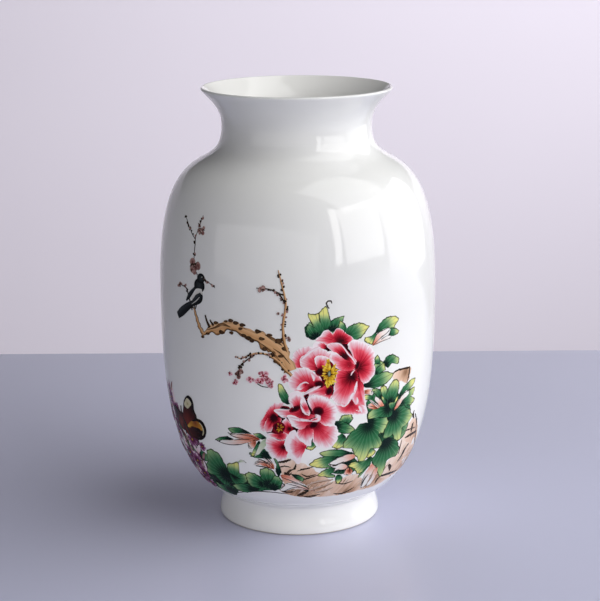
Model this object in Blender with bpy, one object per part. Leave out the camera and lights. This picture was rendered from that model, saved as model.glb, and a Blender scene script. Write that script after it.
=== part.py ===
"""Wax gourd vase: a porcelain vase thrown in sections that are luted together with slip.

Metres, +Z up. The origin is the middle of the foot's resting face.
"""

import math

import bpy
import numpy as np

# Outside radii, from the table up
FOOT_RADIUS = 0.0467
WAIST_RADIUS = 0.0445
TURN_RADIUS = 0.0545
BELLY_RADIUS = 0.0790
NECK_RADIUS = 0.0424
MOUTH_RADIUS = 0.0539

# Overall height, and the stretches that stay as they are when the belly takes up a change of it
HEIGHT = 0.2500
FOOT_HEIGHT = 0.0145
TURN_RISE = 0.0074
SHOULDER_RISE = 0.0939
MOUTH_RISE = 0.0210

# Slopes of the outside above the foot and at the lip
TURN_SLOPE = math.radians(42)
MOUTH_SLOPE = math.radians(50)

# How full each curve is: how far it runs straight on at an end, against the height of its stretch
FOOT_FULLNESS = 0.40
COVE_FULLNESS = 0.43
BOWL_FULLNESS_LOW = 0.27
BOWL_FULLNESS_HIGH = 0.40
SHOULDER_FULLNESS_LOW = 1.03
SHOULDER_FULLNESS_HIGH = 0.36
MOUTH_FULLNESS_LOW = 0.48
MOUTH_FULLNESS_HIGH = 0.25

# Clay thickness
WALL = 0.0045
FLOOR = 0.0045
LIP = 0.0018
FOOT_WALL = 0.0055
FOOT_EDGE = 0.0012

# Luted joints
SPIGOT_DEPTH = 0.0035
BELLY_SEAM_DROP = 0.0030
NECK_SEAM_DROP = 0.0060
LAP = 0.0050
SLIP = 0.0006
GAP = 0.0003

# Glazed porcelain and bare slip
GLAZE_COLOUR = (0.90, 0.90, 0.89)
GLAZE_ROUGHNESS = 0.15
SLIP_COLOUR = (0.80, 0.78, 0.74)
SLIP_ROUGHNESS = 0.60

# Facets
SEGMENTS = 48
CURVE_STEPS = 80
WALL_STEPS = 16
NECK_STEPS = 10
LIP_STEPS = 7
FOOT_STEPS = 6
EDGE_STEPS = 4
SMOOTH_ANGLE = math.radians(35)

TURN_HEIGHT = FOOT_HEIGHT + TURN_RISE
NECK_HEIGHT = HEIGHT - MOUTH_RISE
BELLY_HEIGHT = NECK_HEIGHT - SHOULDER_RISE
BELLY_RISE = BELLY_HEIGHT - TURN_HEIGHT
BELLY_SEAM = BELLY_HEIGHT - BELLY_SEAM_DROP
NECK_SEAM = NECK_HEIGHT - NECK_SEAM_DROP
UNDERSIDE = FOOT_HEIGHT + SLIP + 2 * GAP
FLOOR_HEIGHT = UNDERSIDE + FLOOR
FOOT_INNER_RADIUS = WAIST_RADIUS - FOOT_WALL


def bend(start, start_handle, end_handle, end):
    """Points along a smooth curve that leaves and reaches its ends by way of the handles."""
    along = np.linspace(0, 1, CURVE_STEPS)[:, None]
    back = 1 - along
    weights = (back**3, 3 * along * back**2, 3 * along**2 * back, along**3)
    corners = (start, start_handle, end_handle, end)
    return sum(weight * np.array(corner) for weight, corner in zip(weights, corners))


def step(angle, length):
    return length * np.array([math.cos(angle), math.sin(angle)])


def outside_curve():
    """The (radius, height) line of the body's outside, from the foot's top to the lip."""
    up = math.pi / 2
    waist = np.array([WAIST_RADIUS, FOOT_HEIGHT])
    turn = np.array([TURN_RADIUS, TURN_HEIGHT])
    belly = np.array([BELLY_RADIUS, BELLY_HEIGHT])
    neck = np.array([NECK_RADIUS, NECK_HEIGHT])
    lip_width = LIP / 2 * (1 - math.sin(MOUTH_SLOPE))
    lip_rise = LIP / 2 * (1 + math.cos(MOUTH_SLOPE))
    mouth = np.array([MOUTH_RADIUS - lip_width, HEIGHT - lip_rise])
    cove = bend(
        waist,
        waist + step(up, COVE_FULLNESS * TURN_RISE),
        turn - step(TURN_SLOPE, COVE_FULLNESS * TURN_RISE),
        turn,
    )
    bowl = bend(
        turn,
        turn + step(TURN_SLOPE, BOWL_FULLNESS_LOW * BELLY_RISE),
        belly - step(up, BOWL_FULLNESS_HIGH * BELLY_RISE),
        belly,
    )
    shoulder = bend(
        belly,
        belly + step(up, SHOULDER_FULLNESS_LOW * SHOULDER_RISE),
        neck - step(up, SHOULDER_FULLNESS_HIGH * SHOULDER_RISE),
        neck,
    )
    trumpet = bend(
        neck,
        neck + step(up, MOUTH_FULLNESS_LOW * MOUTH_RISE),
        mouth - step(MOUTH_SLOPE, MOUTH_FULLNESS_HIGH * MOUTH_RISE),
        mouth,
    )
    return np.concatenate([cove, bowl[1:], shoulder[1:], trumpet[1:]])


def travel_along(curve):
    """How far along the curve each of its points is."""
    return np.concatenate([[0], np.cumsum(np.hypot(*np.diff(curve, axis=0).T))])


def inside_curve(outside):
    """The outside moved in by the clay's thickness, which thins from the neck's seam to the lip."""
    run = np.gradient(outside, travel_along(outside), axis=0)
    run /= np.hypot(run[:, 0], run[:, 1])[:, None]
    inward = np.stack([-run[:, 1], run[:, 0]], axis=1)
    thickness = np.interp(outside[:, 1], [NECK_SEAM, outside[-1, 1]], [WALL, LIP])
    return outside + inward * thickness[:, None]


def radius_at(curve, height):
    return float(np.interp(height, curve[:, 1], curve[:, 0]))


def rising(curve, low, high, count):
    """Evenly spaced points of a curve from one height up to another."""
    travel = travel_along(curve)
    first, last = np.interp([low, high], curve[:, 1], travel)
    at = np.linspace(first, last, count)
    return list(zip(np.interp(at, travel, curve[:, 0]), np.interp(at, travel, curve[:, 1])))


def falling(curve, high, low, count):
    return rising(curve, low, high, count)[::-1]


def arc(centre, radius, start, end, count):
    """Points of a circle from one angle to another."""
    return [tuple(centre + step(angle, radius)) for angle in np.linspace(start, end, count)]


def lap_radius(seam):
    """Where the two halves of a lap joint meet: the middle of the wall."""
    return (radius_at(outside, seam) + radius_at(inside, seam)) / 2


def tongue(seam):
    """The inner half of a lap joint, which stands up from the lower section."""
    edge = lap_radius(seam) - GAP / 2
    return [(edge, seam + LAP), (edge, seam - SLIP / 2 - GAP)]


def rebate(seam):
    """The hollow of a lap joint, which the upper section sets over the tongue."""
    edge = lap_radius(seam) + GAP / 2
    return [(edge, seam + SLIP / 2 + GAP), (edge, seam + LAP + GAP)]


def finish(name, colour, roughness):
    material = bpy.data.materials.new(name)
    material.use_nodes = True
    shader = material.node_tree.nodes["Principled BSDF"]
    shader.inputs["Base Color"].default_value = (*colour, 1)
    shader.inputs["Roughness"].default_value = roughness
    return material


def turned(name, outline, seat, material):
    """Turns an outline of (radius, height) points about Z, with the origin on the axis at the seat.

    An outline that starts and ends on the axis stays open there.
    """
    count = len(outline)
    edges = [(i, i + 1) for i in range(count - 1)]
    if outline[0][0] > 0:
        edges.append((count - 1, 0))
    mesh = bpy.data.meshes.new(name)
    mesh.from_pydata([(radius, 0, height - seat) for radius, height in outline], edges, [])
    mesh.materials.append(material)
    piece = bpy.data.objects.new(name, mesh)
    piece.location.z = seat
    bpy.context.collection.objects.link(piece)
    screw = piece.modifiers.new("Turn", "SCREW")
    screw.steps = SEGMENTS
    screw.render_steps = SEGMENTS
    screw.use_merge_vertices = True
    screw.merge_threshold = 0.00001
    bpy.context.view_layer.objects.active = piece
    bpy.ops.object.modifier_apply(modifier=screw.name)
    mesh.shade_smooth()
    mesh.set_sharp_from_angle(angle=SMOOTH_ANGLE)


def glazed(name, outline, seat):
    turned(name, outline, seat, finish(name + "_glaze", GLAZE_COLOUR, GLAZE_ROUGHNESS))


def slip_ring(name, inner_radius, low):
    """A flat ring of slip whose edge is flush with the outside."""
    high = low + SLIP
    outline = [
        (radius_at(outside, high), high),
        (radius_at(outside, low), low),
        (inner_radius, low),
        (inner_radius, high),
    ]
    turned(name, outline, low, finish(name + "_clay", SLIP_COLOUR, SLIP_ROUGHNESS))


def foot_ring():
    flare = bend(
        (FOOT_RADIUS, FOOT_EDGE),
        (FOOT_RADIUS, FOOT_FULLNESS * FOOT_HEIGHT),
        (WAIST_RADIUS, (1 - FOOT_FULLNESS) * FOOT_HEIGHT),
        (WAIST_RADIUS, FOOT_HEIGHT),
    )
    down = -math.pi / 2
    outline = falling(flare, FOOT_HEIGHT, FOOT_EDGE, FOOT_STEPS)
    outline += arc((FOOT_RADIUS - FOOT_EDGE, FOOT_EDGE), FOOT_EDGE, 0, down, EDGE_STEPS)[1:]
    outline += arc((FOOT_INNER_RADIUS + FOOT_EDGE, FOOT_EDGE), FOOT_EDGE, down, 2 * down, EDGE_STEPS)
    outline += [(FOOT_INNER_RADIUS, FOOT_HEIGHT)]
    glazed("foot_ring", outline, 0)


def lower_body():
    spigot_radius = FOOT_INNER_RADIUS - GAP
    spigot_end = UNDERSIDE - SPIGOT_DEPTH
    outline = [(0, FLOOR_HEIGHT)]
    outline += rising(inside, FLOOR_HEIGHT, BELLY_SEAM + LAP, WALL_STEPS)
    outline += tongue(BELLY_SEAM)
    outline += falling(outside, BELLY_SEAM - SLIP / 2 - GAP, UNDERSIDE, WALL_STEPS)
    outline += [(spigot_radius, UNDERSIDE), (spigot_radius, spigot_end), (0, spigot_end)]
    glazed("lower_body", outline, UNDERSIDE)


def upper_body():
    bottom = BELLY_SEAM + SLIP / 2 + GAP
    outline = falling(outside, NECK_SEAM - SLIP / 2 - GAP, bottom, WALL_STEPS)
    outline += rebate(BELLY_SEAM)
    outline += rising(inside, BELLY_SEAM + LAP + GAP, NECK_SEAM + LAP, WALL_STEPS)
    outline += tongue(NECK_SEAM)
    glazed("upper_body", outline, bottom)


def neck_mouth():
    bottom = NECK_SEAM + SLIP / 2 + GAP
    outline = falling(outside, outside[-1, 1], bottom, NECK_STEPS)
    outline += rebate(NECK_SEAM)
    outline += rising(inside, NECK_SEAM + LAP + GAP, inside[-1, 1], NECK_STEPS)
    lip_centre = (outside[-1] + inside[-1]) / 2
    facing_in = MOUTH_SLOPE + math.pi / 2
    outline += arc(lip_centre, LIP / 2, facing_in, facing_in - math.pi, LIP_STEPS)[1:-1]
    glazed("neck_mouth", outline, bottom)


for leftover in list(bpy.data.objects):
    bpy.data.objects.remove(leftover)

outside = outside_curve()
inside = inside_curve(outside)

foot_ring()
lower_body()
upper_body()
neck_mouth()
slip_ring("foot_luting_slip", FOOT_INNER_RADIUS, FOOT_HEIGHT + GAP)
slip_ring("belly_luting_slip", lap_radius(BELLY_SEAM) + GAP / 2, BELLY_SEAM - SLIP / 2)
slip_ring("neck_luting_slip", lap_radius(NECK_SEAM) + GAP / 2, NECK_SEAM - SLIP / 2)
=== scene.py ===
import math
import random

import bpy
import numpy as np
from mathutils import Matrix, Vector


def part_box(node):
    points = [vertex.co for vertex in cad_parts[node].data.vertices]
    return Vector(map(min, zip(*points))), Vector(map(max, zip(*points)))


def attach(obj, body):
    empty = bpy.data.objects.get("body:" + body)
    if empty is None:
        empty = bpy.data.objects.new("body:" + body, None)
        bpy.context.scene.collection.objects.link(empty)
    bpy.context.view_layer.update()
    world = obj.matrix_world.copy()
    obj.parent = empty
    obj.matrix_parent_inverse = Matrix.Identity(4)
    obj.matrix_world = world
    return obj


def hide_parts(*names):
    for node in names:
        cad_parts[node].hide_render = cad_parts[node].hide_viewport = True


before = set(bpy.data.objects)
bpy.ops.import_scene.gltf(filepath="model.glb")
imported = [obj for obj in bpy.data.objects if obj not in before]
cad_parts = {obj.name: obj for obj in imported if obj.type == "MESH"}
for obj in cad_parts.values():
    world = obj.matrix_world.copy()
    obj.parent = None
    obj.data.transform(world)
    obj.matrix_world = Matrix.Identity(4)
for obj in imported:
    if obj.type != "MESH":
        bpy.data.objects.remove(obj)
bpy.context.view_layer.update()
print("frame loaded:", len(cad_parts), "nodes")

# the outline in metres, as the sections were turned; a handle is a share of the rise it belongs to
vaseShape = {
    "footRadius": 0.0467,
    "waistRadius": 0.0445,
    "turnRadius": 0.0545,
    "bellyRadius": 0.0790,
    "neckRadius": 0.0424,
    "mouthRadius": 0.0539,
    "height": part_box("neck_mouth")[1][2],
    "footHeight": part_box("foot_ring")[1][2],
    "turnRise": 0.0074,
    "shoulderRise": 0.0939,
    "mouthRise": 0.0210,
    "turnSlope": 42,  # degrees from level
    "mouthSlope": 50,
    "flareHandles": (0.4, 0.6),
    "coveHandles": (0.43, 0.43),
    "bellyHandles": (0.27, 0.40),
    "shoulderHandles": (1.03, 0.36),
    "mouthHandles": (0.48, 0.25),
    "wall": 0.0045,
    "lip": 0.0018,
    "lipPoints": 13,
    "floorTop": 0.0202,
    "floorFlat": 0.034,
    "floorHandle": 0.043,
    "floorFillet": 0.0055,
    "filletHandle": 0.006,
    "filletPoints": 14,
    "baseUnder": 0.0122,
    "footInner": 0.0390,
    "footEdge": 0.0012,
    "baseFillet": 0.0025,
    "segments": 160,
    "weld": 0.000002,
    "smoothAngle": 40,
}
# how far apart the points of each turned line lie
pointGaps = {"foot": 0.0007, "outside": 0.0012, "inside": 0.002, "mouth": 0.0008, "mouthInside": 0.001}


def seamHeight(node):
    low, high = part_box(node)
    return (low[2] + high[2]) / 2


seams = {name: seamHeight(name + "_luting_slip") for name in ("foot", "belly", "neck")}


def bendLine(start, startHandle, endHandle, end, count=90):
    along = np.linspace(0, 1, count)[:, None]
    back = 1 - along
    weights = (back**3, 3 * along * back**2, 3 * along**2 * back, along**3)
    return sum(w * np.array(p) for w, p in zip(weights, (start, startHandle, endHandle, end)))


def stepTo(angle, length):
    return length * np.array([math.cos(angle), math.sin(angle)])


def outsideLine():
    s = vaseShape
    up = math.pi / 2
    turnSlope, mouthSlope = math.radians(s["turnSlope"]), math.radians(s["mouthSlope"])
    turnHeight = s["footHeight"] + s["turnRise"]
    neckHeight = s["height"] - s["mouthRise"]
    bellyHeight = neckHeight - s["shoulderRise"]
    waist = np.array([s["waistRadius"], s["footHeight"]])
    turn = np.array([s["turnRadius"], turnHeight])
    belly = np.array([s["bellyRadius"], bellyHeight])
    neck = np.array([s["neckRadius"], neckHeight])
    mouth = np.array([
        s["mouthRadius"] - s["lip"] / 2 * (1 - math.sin(mouthSlope)),
        s["height"] - s["lip"] / 2 * (1 + math.cos(mouthSlope)),
    ])
    # each bend: a point and the slope there, the next point and its slope, the rise and the two handles
    bends = (
        (waist, up, turn, turnSlope, s["turnRise"], s["coveHandles"]),
        (turn, turnSlope, belly, up, bellyHeight - turnHeight, s["bellyHandles"]),
        (belly, up, neck, up, s["shoulderRise"], s["shoulderHandles"]),
        (neck, up, mouth, mouthSlope, s["mouthRise"], s["mouthHandles"]),
    )
    lines = [bendLine(a, a + stepTo(leave, first * rise), b - stepTo(arrive, last * rise), b)
             for a, leave, b, arrive, rise, (first, last) in bends]
    return np.concatenate(lines[:1] + [line[1:] for line in lines[1:]])


def travelAlong(line):
    return np.concatenate([[0], np.cumsum(np.hypot(*np.diff(line, axis=0).T))])


def outwardOf(line):
    run = np.gradient(line, travelAlong(line), axis=0)
    run /= np.hypot(run[:, 0], run[:, 1])[:, None]
    return np.stack([run[:, 1], -run[:, 0]], axis=1)


outside = outsideLine()
outward = outwardOf(outside)
thickness = np.interp(outside[:, 1], [seams["neck"], outside[-1, 1]], [vaseShape["wall"], vaseShape["lip"]])
inside = outside - outward * thickness[:, None]


def stretch(line, start, end, gap="outside"):
    # evenly spaced points of the line from one height to another, up or down
    travel = travelAlong(line)
    first, last = np.interp([start, end], line[:, 1], travel)
    at = np.linspace(first, last, max(4, int(abs(last - first) / pointGaps[gap])))
    return [(np.interp(a, travel, line[:, 0]), np.interp(a, travel, line[:, 1])) for a in at]


def cornerArc(centre, radius, start, end, count=7):
    angles = np.linspace(math.radians(start), math.radians(end), count)
    return [tuple(np.array(centre) + stepTo(a, radius)) for a in angles]


def turnPiece(name, outline, closed=True):
    # a chain of vertices drawn by extruding one, then spun about the vase's axis
    bpy.ops.object.select_all(action="DESELECT")
    bpy.ops.mesh.primitive_plane_add(size=0.01)
    piece = bpy.context.object
    piece.name = piece.data.name = name
    bpy.ops.object.mode_set(mode="EDIT")
    bpy.ops.mesh.merge(type="CENTER")
    bpy.ops.transform.translate(value=(outline[0][0], 0, outline[0][1]))
    loop = outline[1:] + (outline[:1] if closed else [])
    at = outline[0]
    for point in loop:
        bpy.ops.mesh.extrude_region_move(
            TRANSFORM_OT_translate={"value": (point[0] - at[0], 0, point[1] - at[1])})
        at = point
    bpy.ops.mesh.select_all(action="SELECT")
    bpy.ops.mesh.remove_doubles(threshold=vaseShape["weld"])
    bpy.ops.mesh.spin(steps=vaseShape["segments"], angle=2 * math.pi, center=(0, 0, 0), axis=(0, 0, 1))
    bpy.ops.mesh.select_all(action="SELECT")
    bpy.ops.mesh.remove_doubles(threshold=vaseShape["weld"])
    bpy.ops.mesh.normals_make_consistent(inside=False)
    bpy.ops.object.mode_set(mode="OBJECT")
    bpy.ops.object.shade_smooth_by_angle(angle=math.radians(vaseShape["smoothAngle"]))
    return piece


def footOutline():
    s = vaseShape
    low, high = s["flareHandles"]
    flare = bendLine((s["footRadius"], s["footEdge"]), (s["footRadius"], low * s["footHeight"]),
                     (s["waistRadius"], high * s["footHeight"]), (s["waistRadius"], s["footHeight"]))
    wall = stretch(np.concatenate([flare, outside[1:]]), seams["foot"], s["footEdge"], "foot")
    edge, fillet = s["footEdge"], s["baseFillet"]
    return (
        wall[:-1]
        + cornerArc((s["footRadius"] - edge, edge), edge, 0, -90)
        + cornerArc((s["footInner"] + edge, edge), edge, -90, -180)
        + cornerArc((s["footInner"] - fillet, s["baseUnder"] - fillet), fillet, 0, 90)
        + [(s["footInner"] - fillet, seams["foot"])]
    )


def lowerOutline():
    s = vaseShape
    filletTop = s["floorTop"] + s["floorFillet"]
    wallStart = np.array([np.interp(filletTop, inside[:, 1], inside[:, 0]), filletTop])
    run = np.array(stretch(inside, filletTop, filletTop + pointGaps["inside"])[-1]) - wallStart
    run /= np.hypot(*run)
    fillet = bendLine((s["floorFlat"], s["floorTop"]), (s["floorHandle"], s["floorTop"]),
                      wallStart - run * s["filletHandle"], wallStart, s["filletPoints"])
    plug = s["footInner"] - s["baseFillet"]
    return (
        [(0, s["floorTop"])]
        + [tuple(p) for p in fillet[:-1]]
        + stretch(inside, filletTop, seams["belly"], "inside")
        + stretch(outside, seams["belly"], seams["foot"])
        + [(plug, seams["foot"]), (plug, s["baseUnder"]), (0, s["baseUnder"])]
    )


def upperOutline():
    return (
        stretch(outside, seams["neck"], seams["belly"])
        + stretch(inside, seams["belly"], seams["neck"], "inside")
    )


def mouthOutline():
    s = vaseShape
    lipCentre = (outside[-1] + inside[-1]) / 2
    facingIn = s["mouthSlope"] + 90
    return (
        stretch(outside, outside[-1, 1], seams["neck"], "mouth")
        + stretch(inside, seams["neck"], inside[-1, 1], "mouthInside")
        + cornerArc(lipCentre, s["lip"] / 2, facingIn, facingIn - 180, s["lipPoints"])[1:-1]
    )


def newMaterial(name):
    material = bpy.data.materials.new(name)
    material.use_nodes = True
    return material, material.node_tree, material.node_tree.nodes["Principled BSDF"]


def feed(tree, socket, value):
    # a link, a number or a colour
    if isinstance(value, bpy.types.NodeSocket):
        tree.links.new(value, socket)
    else:
        socket.default_value = (*value, 1) if isinstance(value, tuple) else value


def addMath(tree, operation, first, second=0.0, clamp=False):
    node = tree.nodes.new("ShaderNodeMath")
    node.operation, node.use_clamp = operation, clamp
    feed(tree, node.inputs[0], first)
    feed(tree, node.inputs[1], second)
    return node.outputs["Value"]


def addFade(tree, value, low, high, toLow=0.0, toHigh=1.0, kind="SMOOTHSTEP"):
    node = tree.nodes.new("ShaderNodeMapRange")
    node.interpolation_type = kind
    names = ("Value", "From Min", "From Max", "To Min", "To Max")
    for name, given in zip(names, (value, low, high, toLow, toHigh)):
        feed(tree, node.inputs[name], given)
    return node.outputs["Result"]


def addBlend(tree, factor, first, second):
    node = tree.nodes.new("ShaderNodeMix")
    node.data_type = "RGBA"
    for name, given in (("Factor", factor), ("A", first), ("B", second)):
        feed(tree, node.inputs[name], given)
    return node.outputs["Result"]


def addNoise(tree, place, scale, detail):
    node = tree.nodes.new("ShaderNodeTexNoise")
    node.inputs["Scale"].default_value = scale
    node.inputs["Detail"].default_value = detail
    tree.links.new(place, node.inputs["Vector"])
    return node.outputs["Fac"]


glaze = {
    "white": (0.80, 0.80, 0.785),
    "whiteShade": (0.775, 0.78, 0.77),
    "paintedFootLight": (0.91, 0.91, 0.895),  # painted light: the glaze colour turns whiter towards the foot, standing in for light thrown up from the table
    "lowFrom": 0.135,
    "lowTo": 0.065,
    # painted light: the inside is painted whiter, standing in for window light falling into the mouth
    "paintedInsideLight": (0.90, 0.895, 0.875),
    "paintedInsideLightShade": (0.88, 0.88, 0.86),
    "mottle": (26, 4),  # scale and detail
    "roughness": (0.05, 0.10),
    "bareClay": (0.72, 0.68, 0.61),
    "bareRoughness": 0.8,
    "bareBelow": 0.0009,  # the ring that stands on the table is wiped bare
    "ripple": (38, 1),
    "rippleStrength": 0.06,
    "rippleDepth": 0.002,
}


def glazeMaterial(name, white="white", shade="whiteShade", bareFoot=False):
    material, tree, shader = newMaterial(name)
    place = tree.nodes.new("ShaderNodeTexCoord").outputs["Object"]
    split = tree.nodes.new("ShaderNodeSeparateXYZ")
    tree.links.new(place, split.inputs["Vector"])
    height = split.outputs["Z"]
    mottle = addNoise(tree, place, *glaze["mottle"])
    # painted light: the colour is blended whiter from lowFrom down to lowTo, standing in for light from the
    # table
    paintedFootLightMask = addFade(tree, height, glaze["lowFrom"], glaze["lowTo"], kind="LINEAR")
    colour = addBlend(tree, paintedFootLightMask, addBlend(tree, mottle, glaze[white], glaze[shade]), glaze["paintedFootLight"])
    roughness = addFade(tree, mottle, 0.0, 1.0, *glaze["roughness"], kind="LINEAR")
    if bareFoot:
        bare = addMath(tree, "LESS_THAN", height, glaze["bareBelow"])
        colour = addBlend(tree, bare, colour, glaze["bareClay"])
        roughness = addFade(tree, bare, 0.0, 1.0, roughness, glaze["bareRoughness"], kind="LINEAR")
    bump = tree.nodes.new("ShaderNodeBump")
    bump.inputs["Strength"].default_value = glaze["rippleStrength"]
    bump.inputs["Distance"].default_value = glaze["rippleDepth"]
    tree.links.new(addNoise(tree, place, *glaze["ripple"]), bump.inputs["Height"])
    tree.links.new(colour, shader.inputs["Base Color"])
    tree.links.new(roughness, shader.inputs["Roughness"])
    tree.links.new(bump.outputs["Normal"], shader.inputs["Normal"])
    return material


footPiece = turnPiece("glazedFoot", footOutline())
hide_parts("foot_ring", "foot_luting_slip")
lowerPiece = turnPiece("glazedLowerBody", lowerOutline(), closed=False)
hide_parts("lower_body", "belly_luting_slip")
upperPiece = turnPiece("glazedUpperBody", upperOutline())
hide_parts("upper_body", "neck_luting_slip")
mouthPiece = turnPiece("glazedMouth", mouthOutline())
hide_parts("neck_mouth")
bodyGlaze = glazeMaterial("bodyGlaze")
footGlaze = glazeMaterial("footGlaze", bareFoot=True)
# the inside glaze carries painted light: whiter than the outside
paintedInsideLightGlaze = glazeMaterial("paintedInsideLightGlaze", "paintedInsideLight", "paintedInsideLightShade")
for piece in (footPiece, lowerPiece, upperPiece, mouthPiece):
    piece.data.materials.append(footGlaze if piece is footPiece else bodyGlaze)
    if piece is not footPiece:
        piece.data.materials.append(paintedInsideLightGlaze)
        for face in piece.data.polygons:  # faces towards the axis take the inside colours, painted whiter for light falling inside
            face.material_index = int(face.center.x * face.normal.x + face.center.y * face.normal.y < 0)
    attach(piece, "root")
print("vase turned:", [len(p.data.polygons) for p in (footPiece, lowerPiece, upperPiece, mouthPiece)])


# what every enamel has in common
brushMark = {
    "alongScale": 0.8,
    "toneScale": 9.0,
    "streakNoise": (1, 3),
    "combing": 5.0,  # how far the streaks move the rim, in mm
    "rimCore": 0.2,  # the share of the rim that has its full strength
    "roughness": (0.16, 0.08),
    "specular": 0.06,
}


def brushToneGroup():
    # how far along the stroke the paint is, streaked by the brush, and a mask along the stroke's rim
    b = brushMark
    group = bpy.data.node_groups.new("brushTone", "ShaderNodeTree")
    for name in ("Streak", "Streak Scale", "Tone Shift", "Rim Width"):
        group.interface.new_socket(name, in_out="INPUT", socket_type="NodeSocketFloat")
    for name in ("Depth", "Rim", "Across", "Along", "Tone"):
        group.interface.new_socket(name, in_out="OUTPUT", socket_type="NodeSocketFloat")
    given, result = group.nodes.new("NodeGroupInput"), group.nodes.new("NodeGroupOutput")
    paint, edge = group.nodes.new("ShaderNodeAttribute"), group.nodes.new("ShaderNodeAttribute")
    paint.attribute_name, edge.attribute_name = "paint", "edge"
    split = group.nodes.new("ShaderNodeSeparateXYZ")
    group.links.new(paint.outputs["Vector"], split.inputs["Vector"])
    across, along, tone = split.outputs
    hair = group.nodes.new("ShaderNodeCombineXYZ")
    scales = (given.outputs["Streak Scale"], b["alongScale"], b["toneScale"])
    for socket, value, scale in zip(hair.inputs, (across, along, tone), scales):
        group.links.new(addMath(group, "MULTIPLY", value, scale), socket)
    streak = addMath(group, "SUBTRACT", addNoise(group, hair.outputs["Vector"], *b["streakNoise"]), 0.5)
    uneven = addMath(group, "MULTIPLY", streak, given.outputs["Streak"])
    shift = addMath(group, "MULTIPLY", addMath(group, "SUBTRACT", tone, 0.5), given.outputs["Tone Shift"])
    depth = addMath(group, "ADD", addMath(group, "ADD", along, uneven), shift, clamp=True)
    combed = addMath(group, "SUBTRACT", edge.outputs["Fac"], addMath(group, "MULTIPLY", uneven, b["combing"]))
    rimWidth = given.outputs["Rim Width"]
    rim = addFade(group, combed, addMath(group, "MULTIPLY", rimWidth, b["rimCore"]), rimWidth, 1.0, 0.0)
    found = {"Depth": depth, "Rim": rim, "Across": across, "Along": along, "Tone": tone}
    for name, socket in found.items():
        group.links.new(socket, result.inputs[name])
    return group


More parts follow.
